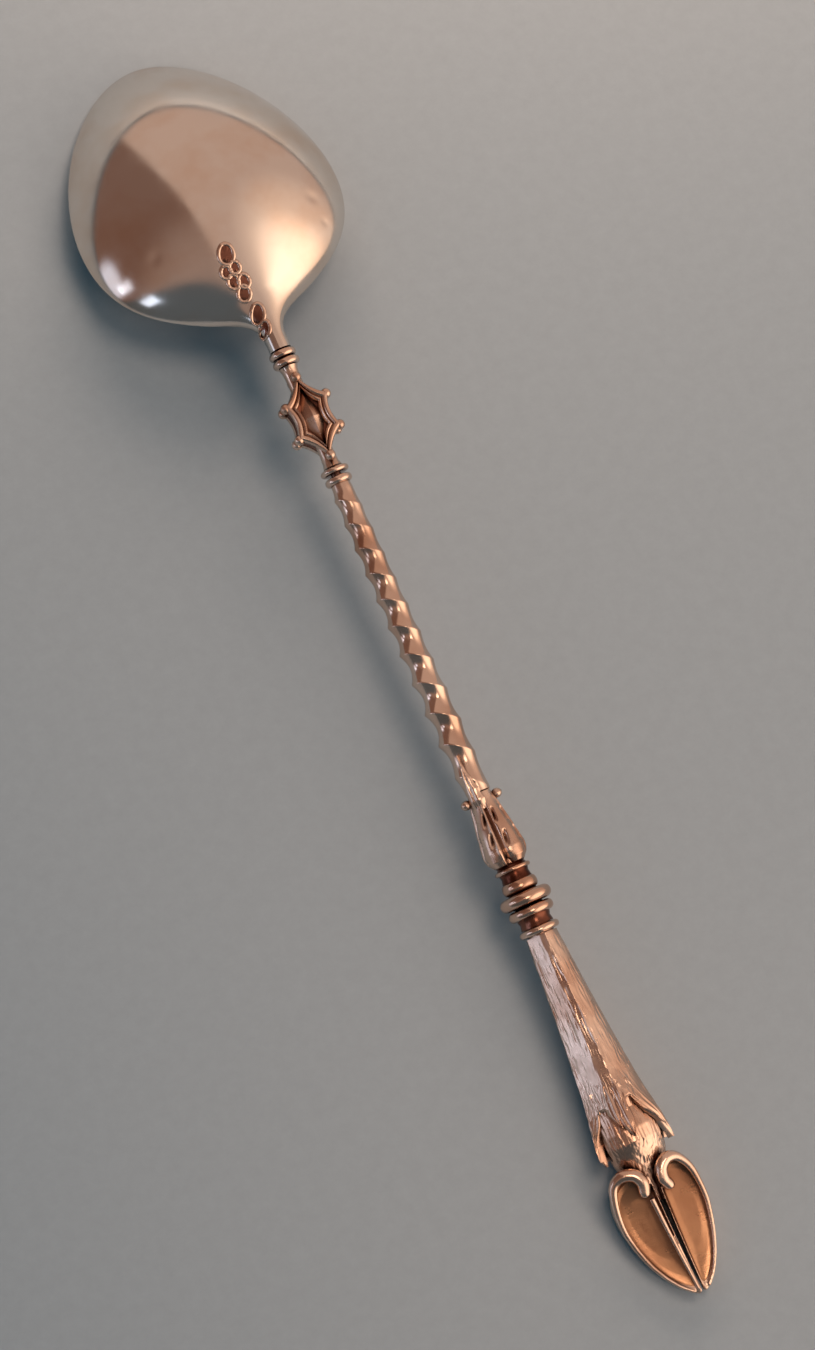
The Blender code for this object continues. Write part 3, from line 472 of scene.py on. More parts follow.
def bowl_curves(b, lean):
    """Half widths and heights of the bowl and its hollow, as functions of the distance from the tip."""
    half = b.width / 2
    neck = b.neck / 2
    neck_end = b.length - 1.0
    run = neck_end - b.widest
    edge = np.vstack([
        bezier(((0, 0), (0, 0.475 * half), (0.53 * b.widest, half), (b.widest, half)), 200),
        bezier(((b.widest, half), (b.widest + 0.75 * run, half), (neck_end - 0.29 * run, neck),
                (neck_end, neck)), 200)[1:],
        [(b.length + 1, neck)]])
    inner_half = half - b.rim
    heel = b.length - b.heel
    inner_run = heel - b.widest
    inner = np.vstack([
        bezier(((b.rim, 0), (b.rim, 0.475 * inner_half), (b.rim + 0.53 * (b.widest - b.rim), inner_half),
                (b.widest, inner_half)), 200),
        bezier(((b.widest, inner_half), (b.widest + 0.6 * inner_run, inner_half), (heel, 0.34 * inner_half),
                (heel, 0.0)), 200)[1:]])
    end = b.length - b.neck_run
    back_run = end - b.deepest
    sweep = end - 0.36 * back_run
    back = bezier(((b.deepest, b.depth), (b.deepest + 0.36 * back_run, b.depth),
                   (sweep, (b.length - sweep) * tan(lean) + neck / cos(lean)),
                   (end, (b.length - end) * tan(lean) + neck / cos(lean))), 200)
    return edge, inner, back


def arch(part, power=1.9, root=1.25):
    """Height of a rounded section, from 1 in its middle to 0 at its edge."""
    return np.maximum(0.0, 1.0 - np.minimum(part, 1.0) ** power) ** (1 / root)


# Dents of use: (distance from the tip, x, radius, depth)
BOWL_DENTS = ((18.88, -6.39, 0.5, 0.05), (18.5, 7.47, 0.45, 0.06), (20.42, 7.75, 0.3, 0.05))
# Blank worn punches at the heel: (distance from the tip, x, half length, half width, turn)
PUNCHES = ((21.14, -1.27, 0.74, 0.6, 0.3), (22.23, -1.02, 0.44, 0.42, 0.0), (22.3, -1.78, 0.44, 0.42, 0.0),
           (23.1, -1.52, 0.5, 0.44, 0.0), (23.35, -0.72, 0.5, 0.44, 0.0), (24.15, -1.07, 0.58, 0.5, 0.2),
           (25.9, -0.68, 0.74, 0.52, 0.35), (27.1, -0.6, 0.56, 0.4, 0.35))


def build_bowl(scene):
    """Bowl and neck from sections across, with dents and punches on the back."""
    b = in_mm(scene.spoon_bowl)
    lean = b.pitch + handle_slope(scene)
    edge, inner, back = bowl_curves(b, lean)
    # Shares of the half width, over the back from left to right and under it from right to left
    over = np.cos(np.linspace(pi, 0, 181))
    lip = 0.86
    under = np.r_[np.linspace(1.0, lip, 6)[1:], lip * np.cos(np.linspace(0, pi, 60))[1:-1],
                  np.linspace(-lip, -1.0, 6)[:-1]]
    half_neck = b.neck / 2 / cos(lean)
    rings = []
    # The sections crowd towards the tip, where the outline turns fastest
    for u in b.length * np.linspace(0, 1, 400)[1:] ** 1.7:
        w = np.interp(u, edge[:, 0], edge[:, 1])
        into_neck = ease(b.length - 4.5, b.length - b.neck_run, u)
        axis = (b.length - u) * tan(lean)
        middle = into_neck * axis
        if u < b.deepest:
            top = b.depth * arch((b.deepest - u) / b.deepest, 1.9, 1.0)
        elif u < back[-1, 0]:
            top = np.interp(u, back[:, 0], back[:, 1])
        else:
            top = axis + half_neck
        low = into_neck * (axis - half_neck)
        # The dome's section grows into a half circle at the neck
        z_over = middle + (top - middle) * arch(np.abs(over), 1.9 + 0.1 * into_neck, 1.25 + 0.75 * into_neck)
        x_under = w * under
        z_under = middle - (middle - low) * arch(np.abs(under), 2.0, 2.0)
        hollow_half = np.interp(u, inner[:, 0], inner[:, 1], left=0.0, right=0.0)
        if hollow_half > 0:
            # The hollow lies inside the flat rim and one wall under the back
            deep = b.depth - b.wall
            if u < b.deepest:
                rise = deep * arch((b.deepest - u) / (b.deepest - b.rim), 1.9, 1.0)
            else:
                rise = deep * max(0.0, 1 - ((u - b.deepest) / (b.length - b.heel - b.deepest)) ** 2) ** 0.9
            z_under = np.where(np.abs(x_under) < hollow_half, rise * arch(np.abs(x_under) / hollow_half), z_under)
        x = np.r_[w * over, x_under]
        z = np.r_[z_over, z_under]
        rings.append(np.c_[x, u + into_neck * (z - axis) * tan(lean), z])
    rings = np.array(rings)
    back_grid = rings[:, :len(over)]
    dent(back_grid, BOWL_DENTS)
    burrs, floors = zip(*(punch(back_grid, *values) for values in PUNCHES))
    for name, shells, silver, nodes in (("fine_bowl", [skin(rings)], "buffed_sterling_silver", ["bowl"]),
                                        ("fine_bowl_punches", burrs, "drawn_sterling_silver", []),
                                        ("fine_bowl_punch_floors", floors, "toned_sterling_silver", [])):
        piece(name, shells, bowl_place(scene), finish(silver, scene), nodes)


def dent(top, dents):
    """Sinks small dents into the bowl's back."""
    for u, x, radius, depth in dents:
        away = ((top[:, :, 1] - u) ** 2 + (top[:, :, 0] - x) ** 2) / radius ** 2
        top[:, :, 2] -= depth * np.exp(-away)


def punch(top, u, x, half_length, half_width, lean):
    """The burr that a blank punch raises round itself and the floor inside it, laid on the bowl's back."""
    turn = full_turn(40)
    swing = [[cos(lean), sin(lean)], [-sin(lean), cos(lean)]]
    out = np.c_[half_width * np.cos(turn), half_length * np.sin(turn)] @ swing
    back = top.reshape(-1, 3)

    def laid(offsets):
        """Points at some offsets from the punch's middle, at the height of the bowl's back."""
        spots = np.array((x, u)) + offsets
        nearest = [np.argsort(((back[:, :2] - spot) ** 2).sum(1))[:4] for spot in spots]
        return np.c_[spots, [back[four, 2].mean() for four in nearest]]

    floor = [laid(part * out) + (0, 0, lift) for part, lift in ((0.95, -0.06), (0.9, 0.03), (0.45, 0.03))]
    wire = full_turn(12)
    half_burr, burr_height = 0.17, 0.13
    burr = [np.c_[spot[:2] + half_burr * np.cos(wire)[:, None] * heading, spot[2] + burr_height * np.sin(wire)]
            for spot, heading in zip(laid(out), out / np.linalg.norm(out, axis=1)[:, None])]
    return skin(burr, closed=True), skin(floor)


# Turned rings

def ring_profile(start, run, outer, edge, bore):
    """Closed profile of a ring with a full, rounded rim."""
    fullness = 0.7
    lean = np.linspace(pi, 0, 25)
    rim = np.c_[start + run / 2 + run / 2 * np.cos(lean), edge + (outer - edge) * np.sin(lean) ** fullness]
    return np.vstack([[(start, bore)], rim, [(start + run, bore)]])


def build_rings(scene):
    """Rings of the neck, the collar and the baluster, and the baluster's grooves."""
    h, _, s, place = handle_work(scene)
    silver = finish("drawn_sterling_silver", scene)
    # Start and length along the handle, then the radii of the rim, its edges and the bore
    rings = (
        ("neck_ring_lower", s.neck_rings[0], 0.62, 1.12, 0.8, 0.45),
        ("neck_ring_upper", s.neck_rings[1], 0.62, 1.12, 0.8, 0.45),
        ("collar_flange", s.flange, 0.52, 1.18, 0.8, 0.4),
        ("collar_barrel", s.barrel, 0.62, 1.12, 0.8, 0.4),
        ("baluster_fillet", s.fillet, 0.36, 1.48, 1.25, 0.9),
        ("baluster_small_ring", s.small_ring, 0.95, 1.46, 1.1, 0.9),
        ("baluster_torus", s.torus, 1.05, h.torus / 2, 1.45, 0.9),
        ("baluster_end_ring", s.end_ring, 0.6, 1.66, 1.3, 1.0),
        ("baluster_lower_ring", s.lower_ring, 0.85, 1.86, 1.35, 1.1),
    )
    for name, start, run, outer, edge, bore in rings:
        piece("fine_" + name, [lathe(ring_profile(start, run, outer, edge, bore))], place, silver,
              [name])
    # Sunk grooves between the rings
    grooves = ((s.calyx_end, s.fillet), (s.fillet + 0.34, s.small_ring + 0.02),
               (s.small_ring + 0.93, s.torus + 0.02), (s.torus + 1.03, s.lower_ring + 0.02))
    cavettos = [lathe([(low, 0.9), (low, 1.22), (low + 0.4 * (high - low), 1.14), (high, 1.24), (high, 0.9)])
                for low, high in grooves]
    low, high = s.lower_ring + 0.8, s.lower_ring + 1.66
    cavettos.append(lathe([(low, 1.1), (low, 1.4), (low + 0.4, 1.27), (high, 1.36), (high, 1.1)]))
    piece("fine_baluster_cavettos", cavettos, place, finish("toned_sterling_silver", scene), [])


# Cartouche
# Its plate's rim: (inset from the edge, share of the half thickness)
PLATE_RIM = ((0.16, 0.0), (0.1, 0.4), (0.03, 0.85))
# Its field and the double rails of its frame: (inset from the edge, height over the face)
FIELD = ((0.06, 0.06), (0.7, 0.06), (0.74, -0.1), (0.8, -0.16))
RAILS = ((0.0, -0.2), (-0.1, 0.0), (-0.1, 0.18), (-0.04, 0.35), (0.1, 0.43), (0.27, 0.44), (0.4, 0.38), (0.47, 0.27),
         (0.52, 0.23), (0.57, 0.27), (0.64, 0.34), (0.73, 0.36), (0.84, 0.29), (0.92, 0.1), (0.92, -0.2))
# Radius of its waists, and points on each arc of its edge
WAIST = 0.62
ARC_POINTS = 18


def cartouche_edge(h, inset):
    """Six-pointed edge as (x, along), drawn in by an inset: hollow arcs from bead to bead."""
    tall = h.cartouche_length / 2
    side = h.cartouche_side / 2
    wide = h.cartouche_width / 2
    points = np.array([(0, -tall), (wide, -side), (wide, side), (0, tall), (-wide, side), (-wide, -side)])
    t = np.linspace(0, 1, ARC_POINTS, endpoint=False)[:, None]
    edge = []
    for here, there in zip(points, np.roll(points, -1, axis=0)):
        middle = (here + there) / 2
        sag = 0.34 if abs(here[0]) == abs(there[0]) else 0.24
        pull = middle - 2 * sag * middle / np.linalg.norm(middle)
        edge.append((1 - t) ** 2 * here + 2 * (1 - t) * t * pull + t * t * there)
    return np.vstack(edge) * (1 - inset / wide, 1 - inset / tall)


def build_cartouche(scene):
    """Plate and waists, then on each face the frame, the boss and the beads."""
    h, _, s, place = handle_work(scene)
    cast_silver = finish("cast_sterling_silver", scene)
    face = h.cartouche_thickness / 2

    def level(inset, z):
        """The edge drawn in by an inset, at a height."""
        edge = cartouche_edge(h, inset)
        return np.c_[edge[:, 0], s.middle + edge[:, 1], np.full(len(edge), z)]

    upper = [(inset, part * face) for inset, part in PLATE_RIM] + [(inset, face + z) for inset, z in FIELD]
    plate = skin([level(inset, -z) for inset, z in upper[:0:-1]] + [level(inset, z) for inset, z in upper])
    waist = lathe([(-1.1, 0.0), (-1.1, 0.5), (s.cartouche, 0.5), (s.cartouche, 0.78), (s.cartouche + 0.35, 0.66),
                   (s.cartouche + 0.9, WAIST), (s.cartouche_end - 0.9, WAIST), (s.cartouche_end - 0.35, 0.66),
                   (s.cartouche_end, 0.78), (s.cartouche_end, 0.0)], 40)
    piece("fine_cartouche_plate", [plate], place, finish("toned_sterling_silver", scene),
          ["cartouche_body"])
    piece("fine_cartouche_waists", [waist], place, finish("drawn_sterling_silver", scene), [])
    for name, up in (("back", 1), ("front", -1)):
        frame_rails = skin([level(inset, up * (face + z)) for inset, z in RAILS], closed=True)
        piece("fine_cartouche_frame_" + name, [frame_rails], place, cast_silver,
              ["cartouche_frame_" + name])
        piece("fine_cartouche_boss_" + name, [boss(s.middle, up, face)], place, cast_silver,
              ["cartouche_boss_" + name], sharp=radians(20.0))
        beads = []
        nodes = []
        for k, (x, along) in enumerate(cartouche_edge(h, 0)[::ARC_POINTS], 1):
            # An end bead lies on the waist, a side bead on the plate's edge
            height = up * (WAIST + 0.1 + h.bead / 2 if x == 0 else 0.5 * h.cartouche_thickness)
            beads.append(ball((0.98 * x, s.middle + along, height), 0.56 * h.bead))
            nodes.append(f"cartouche_bead_{name}_{k}")
        piece("fine_cartouche_beads_" + name, beads, place, cast_silver, nodes)


def boss(along, up, face):
    """Four-sided boss with slightly hollow faces and a soft girdle."""
    half_width, half_length, height, foot = 1.03, 2.62, 0.54, 0.14
    corners = np.array([(0, -half_length), (half_width, 0), (0, half_length), (-half_width, 0)])
    t = np.linspace(0, 1, 8, endpoint=False)[:, None]
    outline = np.vstack([(here + (there - here) * t) * (1 - 0.1 * np.sin(pi * t))
                         for here, there in zip(corners, np.roll(corners, -1, axis=0))])
    levels = [(1.0, face - 0.3)] + [(part, face - foot + height * (1 - part)) for part in np.linspace(1.0, 0.03, 14)]
    return skin([np.c_[part * outline[:, 0], along + part * outline[:, 1], np.full(len(outline), up * z)]
                 for part, z in levels])


# Stem

def crest_shape(part):
    """Crest over one turn: a rounded edge between hollow faces, steeper on the hoof's side."""
    height = 0.0
    for shift in (-0.02, 0.0, 0.02):
        place = (part + shift) % 1.0
        fall = np.clip(1 - place / 0.5, 0, 1) ** 1.7
        rise = np.clip((place - 0.5) / 0.5, 0, 1) ** 2.0
        height = height + np.maximum(fall, rise) / 3
    return height


def build_stem(scene):
    """Stem with one crest that winds to the left, in a pitch that grows."""
    h, _, s, place = handle_work(scene)
    first = 1 / h.pitch_start
    growth = (1 / h.pitch_end - first) / (2 * h.stem_length)
    part = np.arange(96) / 96
    turn = 2 * pi * part
    # The crest lies flat at the sides and steep across the back, and stands higher on the left
    swung = part - 0.9 * np.sin(2 * turn) / (4 * pi)
    stands = 0.72 - 0.28 * np.cos(turn)
    # The tenon comes first
    rings = [ring(radius, turn, along) for along, radius in
             ((s.cartouche_end - 0.9, 0.42), (s.barrel + 0.28, 0.42), (s.barrel + 0.3, 0.76))]
    for run in np.linspace(0, h.stem_length, 700):
        turns = first * run + growth * run * run
        core = (h.stem_start + (h.stem_end - h.stem_start) * (run / h.stem_length) ** 0.6) / 2
        height = np.interp(run, (0, 0.8, h.stem_length - 5, h.stem_length), (0.05, h.crest_start, h.crest, 0.15))
        spread = (swung - h.crest_angle / (2 * pi) + turns) % 1.0
        rings.append(ring(core + height * stands * crest_shape(spread), turn, s.stem + run))
    piece("fine_twisted_stem", [skin(rings)], place, finish("drawn_sterling_silver", scene),
          ["twisted_stem"])


# Calyx

def build_calyx(scene):
    """Cup of four slit lobes, two leaves and two side beads."""
    h, _, s, place = handle_work(scene)
    chased = finish("cast_sterling_silver", scene)
    turn = full_turn(180)
    # Four lobes: degrees from the middle of the nearest one
    lobe = (np.degrees(turn) - 57.0) % 90.0
    lobe = np.where(lobe > 45, lobe - 90, lobe)
    rings = []
    for along in np.linspace(s.calyx, s.calyx_end, 130):
        part = (along - s.calyx) / (s.calyx_end - s.calyx)
        base = np.interp(part, (0, 0.1, 0.45, 0.8, 0.93, 1.0), (0.95, 1.0, 1.3, 1.62, 1.55, 1.25)) * h.calyx / 3.6
        crown = 0.2 * np.cos(np.radians(lobe) * 2) * ease(0.15, 0.6, part)
        groove = -0.22 * np.exp(-((np.abs(lobe) - 45) / 6.5) ** 2) * ease(0.02, 0.2, part)
        rail = 0.14 * np.exp(-((lobe + 33) / 4.5) ** 2) * ease(0.02, 0.2, part)
        slits = np.zeros(len(turn))
        for centre, low, high in ((20, 0.22, 0.46), (20, 0.55, 0.8), (-26, 0.26, 0.48), (-28, 0.54, 0.76)):
            depth = np.sin(pi * np.clip((part - low) / (high - low), 0, 1))
            slits -= 0.34 * depth * np.exp(-((lobe - centre - 40 * (part - low)) / 5.0) ** 2)
        bottom = -0.35 * ease(0.84, 0.98, part) * (np.abs(lobe) / 45) ** 2
        rings.append(ring(base + crown + groove + rail + slits + bottom, turn, along))
    piece("fine_calyx_cup", [skin(rings)], place, chased, ["calyx_cup"])
    for name, middle in (("calyx_leaf_back", 128.0), ("calyx_leaf_front", 308.0)):
        piece("fine_" + name, [leaf_tongue(h, s, radians(middle))], place, chased, [name])
    for name, side in (("calyx_bead_right", 1), ("calyx_bead_left", -1)):
        lug = tube([(side * 0.8, s.calyx + 0.75, 0.0), (side * 1.15, s.calyx + 0.6, 0.05),
                    (side * 1.3, s.calyx + 0.5, 0.05)], (0.2, 0.2, 0.2), 14)
        knob = ball((side * 1.32, s.calyx + 0.5, 0.05), 0.44, (1.0, 0.9, 1.0))
        piece("fine_" + name, [lug, knob], place, chased, [name])


def leaf_tongue(h, s, middle):
    """Pointed, ragged leaf that laps up over the end of the stem."""
    rings = []
    across = np.linspace(-1, 1, 21)
    for t in np.linspace(0, 1, 60):
        along = s.calyx - 3.3 + 4.6 * t
        core = h.stem_end / 2 + 0.2 - 0.1 * ease(0.3, 0.8, t) - 0.2 * ease(0.8, 1.0, t)
        half = (0.05 + 0.7 * ease(0.0, 0.85, t)) * (1 - 0.16 * abs(sin(15 * t))) / core
        bend = middle - 0.15 * (1 - t) + half * across
        outer = core + 0.2 * (1 - 0.7 * across ** 2) - 0.1 * np.exp(-(across / 0.16) ** 2) * ease(0.15, 0.4, t)
        inner = np.full(len(across), core - 0.25)
        rings.append(ring(np.r_[outer, inner], np.r_[bend, bend[::-1]], along))
    return skin(rings)


# Leg

def leg_surface(g, s, along, turn, off=0.0):
    """Points on the leg's surface, or off it, for arrays of places and angles."""
    part = np.clip((along - s.leg) / (s.leg_end - s.leg), 0, 1) ** g.flare
    wide = (g.start_width + (g.end_width - g.start_width) * part) / 2 + off
    high = (g.start_height + (g.end_height - g.start_height) * part) / 2 + off
    rise = np.sin(turn)
    out = np.abs(np.cos(turn))
    # The back is a low ridge: round on the right, and on the left a flat flank under a narrow shoulder
    shoulder = 1 - 0.5 * out
    flank_slope = tan(radians(47.0)) * wide / high
    flank = 0.82 - flank_slope * (out - 0.36)
    blend = 0.16
    step = np.clip(0.5 + (shoulder - flank) / blend, 0, 1)
    planed = shoulder + (flank - shoulder) * step - blend / 4 * step * (1 - step)
    back = np.where(np.cos(turn) < 0, np.minimum(planed, rise), 0.35 * (1 - out) + 0.65 * rise)
    rise = np.where(rise > 0, back, rise)
    return np.stack(np.broadcast_arrays(wide * np.cos(turn), along + 0 * turn, high * rise), -1)


def hair(points, fine, run, seed):
    """Streaks along the handle: 0 in the bottoms and 1 on the ridges."""
    flat = points.reshape(-1, 3)
    marks = [1 - abs(noise.noise((x / fine + seed, y / run, z / fine))) * 2.2 for x, y, z in flat]
    return np.clip(np.array(marks), -1, 1).reshape(points.shape[:-1])


def coat(points, seed, fine_seed):
    """Coarse and fine hair together."""
    return hair(points, 0.26, 2.4, seed) * 0.7 + hair(points, 0.14, 1.2, fine_seed) * 0.3


def build_leg(scene):
    """Haired leg with its spindle, and the pastern below it."""
    _, g, s, place = handle_work(scene)
    chased = finish("cast_sterling_silver", scene)
    turn = full_turn(200)
    along = np.linspace(s.leg, s.leg_end, 260)[:, None]
    # The end sinks under the fur
    sunk = -0.75 * ease(s.leg_end - 2.4, s.leg_end, along)
    strands = coat(leg_surface(g, s, along, turn[None, :], sunk), 3.0, 9.0)
    fade = ease(s.leg, s.leg + 1.5, along)
    rings = leg_surface(g, s, along, turn[None, :], sunk + g.hair * strands * fade)
    spindle = [ring(1.08, turn, start) for start in (s.calyx_end - 1.5, s.leg)]
    piece("fine_leg", [skin(np.vstack([spindle, rings]))], place, chased, ["leg"])

    places = s.leg_end + np.linspace(-2.6, 6.4, 90)[:, None]
    knots = s.leg_end + np.array([-2.6, -1.2, 0.4, 1.5, 2.6, 3.6, 5.0, 6.4])
    wide = np.interp(places, knots, (1.9, 2.2, 2.35, 2.35, 2.2, 1.9, 1.3, 0.7))
    high = np.interp(places, knots, (1.3, 1.55, 1.75, 1.7, 1.35, 1.1, 0.9, 0.6))
    sink = np.interp(places, knots, (0.0, 0.0, 0.0, -0.05, -0.25, -0.45, -0.7, -0.8))

    def pastern(relief):
        """Rings of the pastern, with a relief of hair."""
        return np.stack(np.broadcast_arrays((wide + relief) * np.cos(turn), places + 0 * turn,
                                            sink + (high + relief) * np.sin(turn)), -1)

    rings = pastern(0.04 * hair(pastern(0.0), 0.2, 1.6, 21.0))
    piece("fine_pastern", [skin(rings)], place, chased, ["pastern"])


# Ragged lower edge of the fur: (angle round the leg in degrees, distance past the leg's end)
FUR_EDGE = ((-90, 1.3), (-75, 1.7), (-66, 1.1), (-52, 1.8), (-40, 1.4), (-26, 2.1), (-14, 2.2), (-7, 1.5), (4, 2.1),
            (16, 2.2), (23, 1.7), (29, 1.1), (38, 0.5), (50, -0.4), (63, -1.2), (74, -2.0), (83, -1.9), (90, -0.7),
            (97, 0.5), (101, -0.3), (106, -0.2), (111, -0.9), (120, -1.6), (130, -1.6), (140, -1.0), (150, -0.4),
            (157, 0.3), (161, 0.1), (165, 1.4), (171, 2.2), (178, 2.4), (187, 2.2), (194, 1.5), (205, 2.1), (213, 1.3),
            (228, 1.8), (240, 1.2), (254, 1.7), (270, 1.3))
# Locks that lie on the fur: (root angle, tip angle, root place, tip place, half width, lift)
LAID_LOCKS = ((136, 158, -3.2, 0.7, 0.36, 0.3), (163, 168, -0.8, 1.9, 0.28, 0.3), (111, 106, -3.4, 0.1, 0.38, 0.3),
              (98, 95, -2.9, 1.0, 0.42, 0.35), (66, 30, -3.4, 1.1, 0.5, 0.3), (30, 17, -1.2, 2.3, 0.45, 0.25))


def fur_sheath(g, s):
    """The leg's coat, which runs on past the leg's end and breaks up into jags."""
    degrees = np.linspace(-90, 270, 420, endpoint=False)
    turn = np.radians(degrees)[None, :]
    edge = s.leg_end + np.interp(degrees, *zip(*FUR_EDGE))
    root = s.leg_end - 5.0
    part = np.linspace(0, 1, 60)[:, None]
    along = root + (edge - root) * part
    # The coat stands off at its edge, except under the leg, where it stays sunk
    free = ease(-0.8, 0.1, np.sin(turn))
    stand = 0.26 * ease(0.2, 1.0, part) - 0.16 * ease(0.93, 1.0, part)
    lift = 0.01 + stand * free - 0.25 * (1 - free) * ease(0.2, 0.8, part)
    strands = coat(leg_surface(g, s, along, turn, lift), 5.0, 14.0)
    outer = leg_surface(g, s, along, turn, lift + (0.03 + 0.05 * part) * strands * ease(0.0, 0.15, part))
    inner = leg_surface(g, s, along, turn, lift - 0.12 - 0.3 * ease(0.0, 0.3, part) + 0.22 * ease(0.85, 1.0, part))
    loops = np.vstack([outer, inner[::-1]])
    return skin(loops.transpose(1, 0, 2), closed=True)


def lock(g, s, root_turn, tip_turn, root, tip, half, lift, seed):
    """A pointed lock of fur that follows the leg and stands off it at its tip."""
    rings = []
    across = np.linspace(-1, 1, 17)
    for t in np.linspace(0, 1, 44):
        along = s.leg_end + root + (tip - root) * t
        middle = radians(root_turn + (tip_turn - root_turn) * t ** 1.3)
        width = half * (0.35 + 0.65 * ease(0.0, 0.3, t)) * (1 - ease(0.55, 1.04, t)) ** 0.8 + 0.03
        turn = middle + width * across / (g.end_height / 2)
        strands = 0.05 * np.cos(across * 9 + seed + 1.5 * sin(3 * t + seed))
        outer = lift * ease(0.0, 0.8, t) + (0.14 + strands) * (1 - across ** 2) ** 0.5
        inner = np.full(len(across), lift * ease(0.1, 0.9, t) - 0.35)
        top = leg_surface(g, s, np.full(len(across), along), turn, outer)
        under = leg_surface(g, s, np.full(len(across), along), turn[::-1], inner)
        rings.append(np.vstack([top, under]))
    return skin(rings)


def build_fur(scene):
    """Ragged coat at the leg's end and the locks that lie on it."""
    _, g, s, place = handle_work(scene)
    chased = finish("cast_sterling_silver", scene)
    piece("fine_fur_sheath", [fur_sheath(g, s)], place, chased, ["fur_cuff_left", "fur_cuff_right"])
    locks = [lock(g, s, *values, seed) for seed, values in enumerate(LAID_LOCKS)]
    piece("fine_fur_tuft", locks, place, chased, ["fur_tuft"])


# Hoof
# Wall and hollow sole of a claw, from its belly up: (share of its edge, share of its height, depth of the hollow)
CLAW_LEVELS = ((0.45, 0.0, 0), (0.7, 0.03, 0), (0.86, 0.1, 0), (0.95, 0.25, 0), (1.0, 0.5, 0), (1.0, 0.8, 0),
               (0.99, 0.95, 0), (0.965, 1.0, 0), (0.94, 1.0, 0.02), (0.915, 1.0, 0.14), (0.87, 1.0, 0.3),
               (0.75, 1.0, 0.42), (0.5, 1.0, 0.5), (0.2, 1.0, 0.52))
# Rolled rims: places along the flank, then knots of the scroll at the heel as (distance from the cleft, from the heel)
RIM_PLACES = (10.3, 9.4, 8.2, 6.8, 5.2, 3.7)
SCROLLS = {"right": [(3.08, 1.6), (2.4, 0.35), (1.6, 0.05), (0.9, 0.55), (0.7, 1.35), (0.95, 2.0)],
           "left": [(3.5, 1.9), (3.1, 0.5), (2.3, 0.0), (1.4, 0.25), (0.98, 1.0), (1.1, 1.8)]}
# Rail along the left claw's cleft, from such knots
CLEFT_RAIL = ((0.8, 2.4), (0.66, 5.0), (0.5, 7.6), (0.34, 10.2))


def claw_top(g, run, out, tilt):
    """Height of a claw's upper edge, which falls to the toe and leans to one side."""
    return 1.1 - 1.45 * run / g.hoof_length + tilt * (1.5 - out)


def claw_edge(g, half, gap):
    """Heel and flank of one claw as (distance from the heel, distance from the cleft) points."""
    toe = g.hoof_length
    run = toe - g.hoof_widest
    heel = bezier(((0.1, 0.3 * half), (-0.2, 0.8 * half), (0.4 * g.hoof_widest, half), (g.hoof_widest, half)), 24)
    flank = bezier(((g.hoof_widest, half), (g.hoof_widest + 0.46 * run, half), (toe - 0.1 * run, 0.52 * half),
                    (toe, gap + 0.22)), 40)[1:]
    return heel, flank


def claw_body(g, half, side, gap, tilt):
    """Wall and hollow sole of one claw, as a stack of drawn-in edges."""
    toe = g.hoof_length
    run = toe - g.hoof_widest
    inner = np.array([(toe - (toe - 0.7) * t, gap + 0.16 * t) for t in np.linspace(0.01, 1, 46)])
    edge = np.vstack([*claw_edge(g, half, gap), inner])
    middle = np.array((0.38 * toe, 0.5 * half))
    rings = []
    for scale, height, drop in CLAW_LEVELS:
        p = middle + scale * (edge - middle)
        top = claw_top(g, p[:, 0], p[:, 1], tilt)
        low = 0.1 - g.belly + (-1.1 + g.belly) * np.clip((p[:, 0] - g.hoof_widest) / run, 0, 1) ** 1.5
        deep = drop * (1.6 - 1.2 * np.clip(p[:, 0] / toe, 0, 1))
        rings.append(np.c_[side * p[:, 1], p[:, 0], low + height * (top - low) - deep])
    return skin(rings)


def build_hoof(scene):
    """Two claws with rolled rims, scrolls and hollow soles."""
    _, g, s, place = handle_work(scene)
    silver = finish("cast_sterling_silver", scene)
    for name, side, extra, gap, tilt in (("right", 1, 0.05, 0.08, 0.02), ("left", -1, 0.4, 0.12, 0.26)):
        half = g.hoof_width / 2 + extra
        flank = claw_edge(g, half, gap)[1]
        rim = [(np.interp(run, flank[:, 0], flank[:, 1]) - 0.15, run) for run in RIM_PLACES]
        knots = [(side * x, run, claw_top(g, run, x, tilt) - 0.04) for x, run in rim + SCROLLS[name]]
        path = smooth_path(knots, 140)
        radii = np.interp(np.linspace(0, 1, 140), (0, 0.25, 0.5, 0.62, 0.74, 0.9, 1.0),
                          (0.14, 0.18, 0.26, 0.38, 0.52, 0.54, 0.48))
        shells = [claw_body(g, half, side, gap, tilt), tube(path, radii), ball(path[-1], 0.46)]
        if name == "left":
            rail = [(-x, run, claw_top(g, run, x, tilt) + 0.02) for x, run in CLEFT_RAIL]
            shells.append(tube(smooth_path(rail, 60), np.linspace(0.24, 0.13, 60)))
        points, faces = cast(shells, grain=0.05, rounds=14)
        # Faces that look up from below the rim are the sole
        corners = points[np.array(faces)]
        middle = corners.mean(1)
        across = np.cross(corners[:, 2] - corners[:, 0], corners[:, 3] - corners[:, 1])
        level = across[:, 2] / np.linalg.norm(across, axis=1)
        sunk = claw_top(g, middle[:, 1], side * middle[:, 0], tilt) - middle[:, 2]
        # Both toes bend a little to the right
        points[:, 0] += 0.3 * (points[:, 1] / g.hoof_length) ** 2
        points[:, 1] += s.hoof
        claw = piece("fine_hoof_claw_" + name, [(points, faces)], place, silver, ["hoof_claw_" + name])
        claw.data.materials.append(finish("scraped_sterling_silver", scene))
        claw.data.polygons.foreach_set("material_index", ((level > 0.45) & (sunk > 0.1)).astype(np.int32))


# Stage

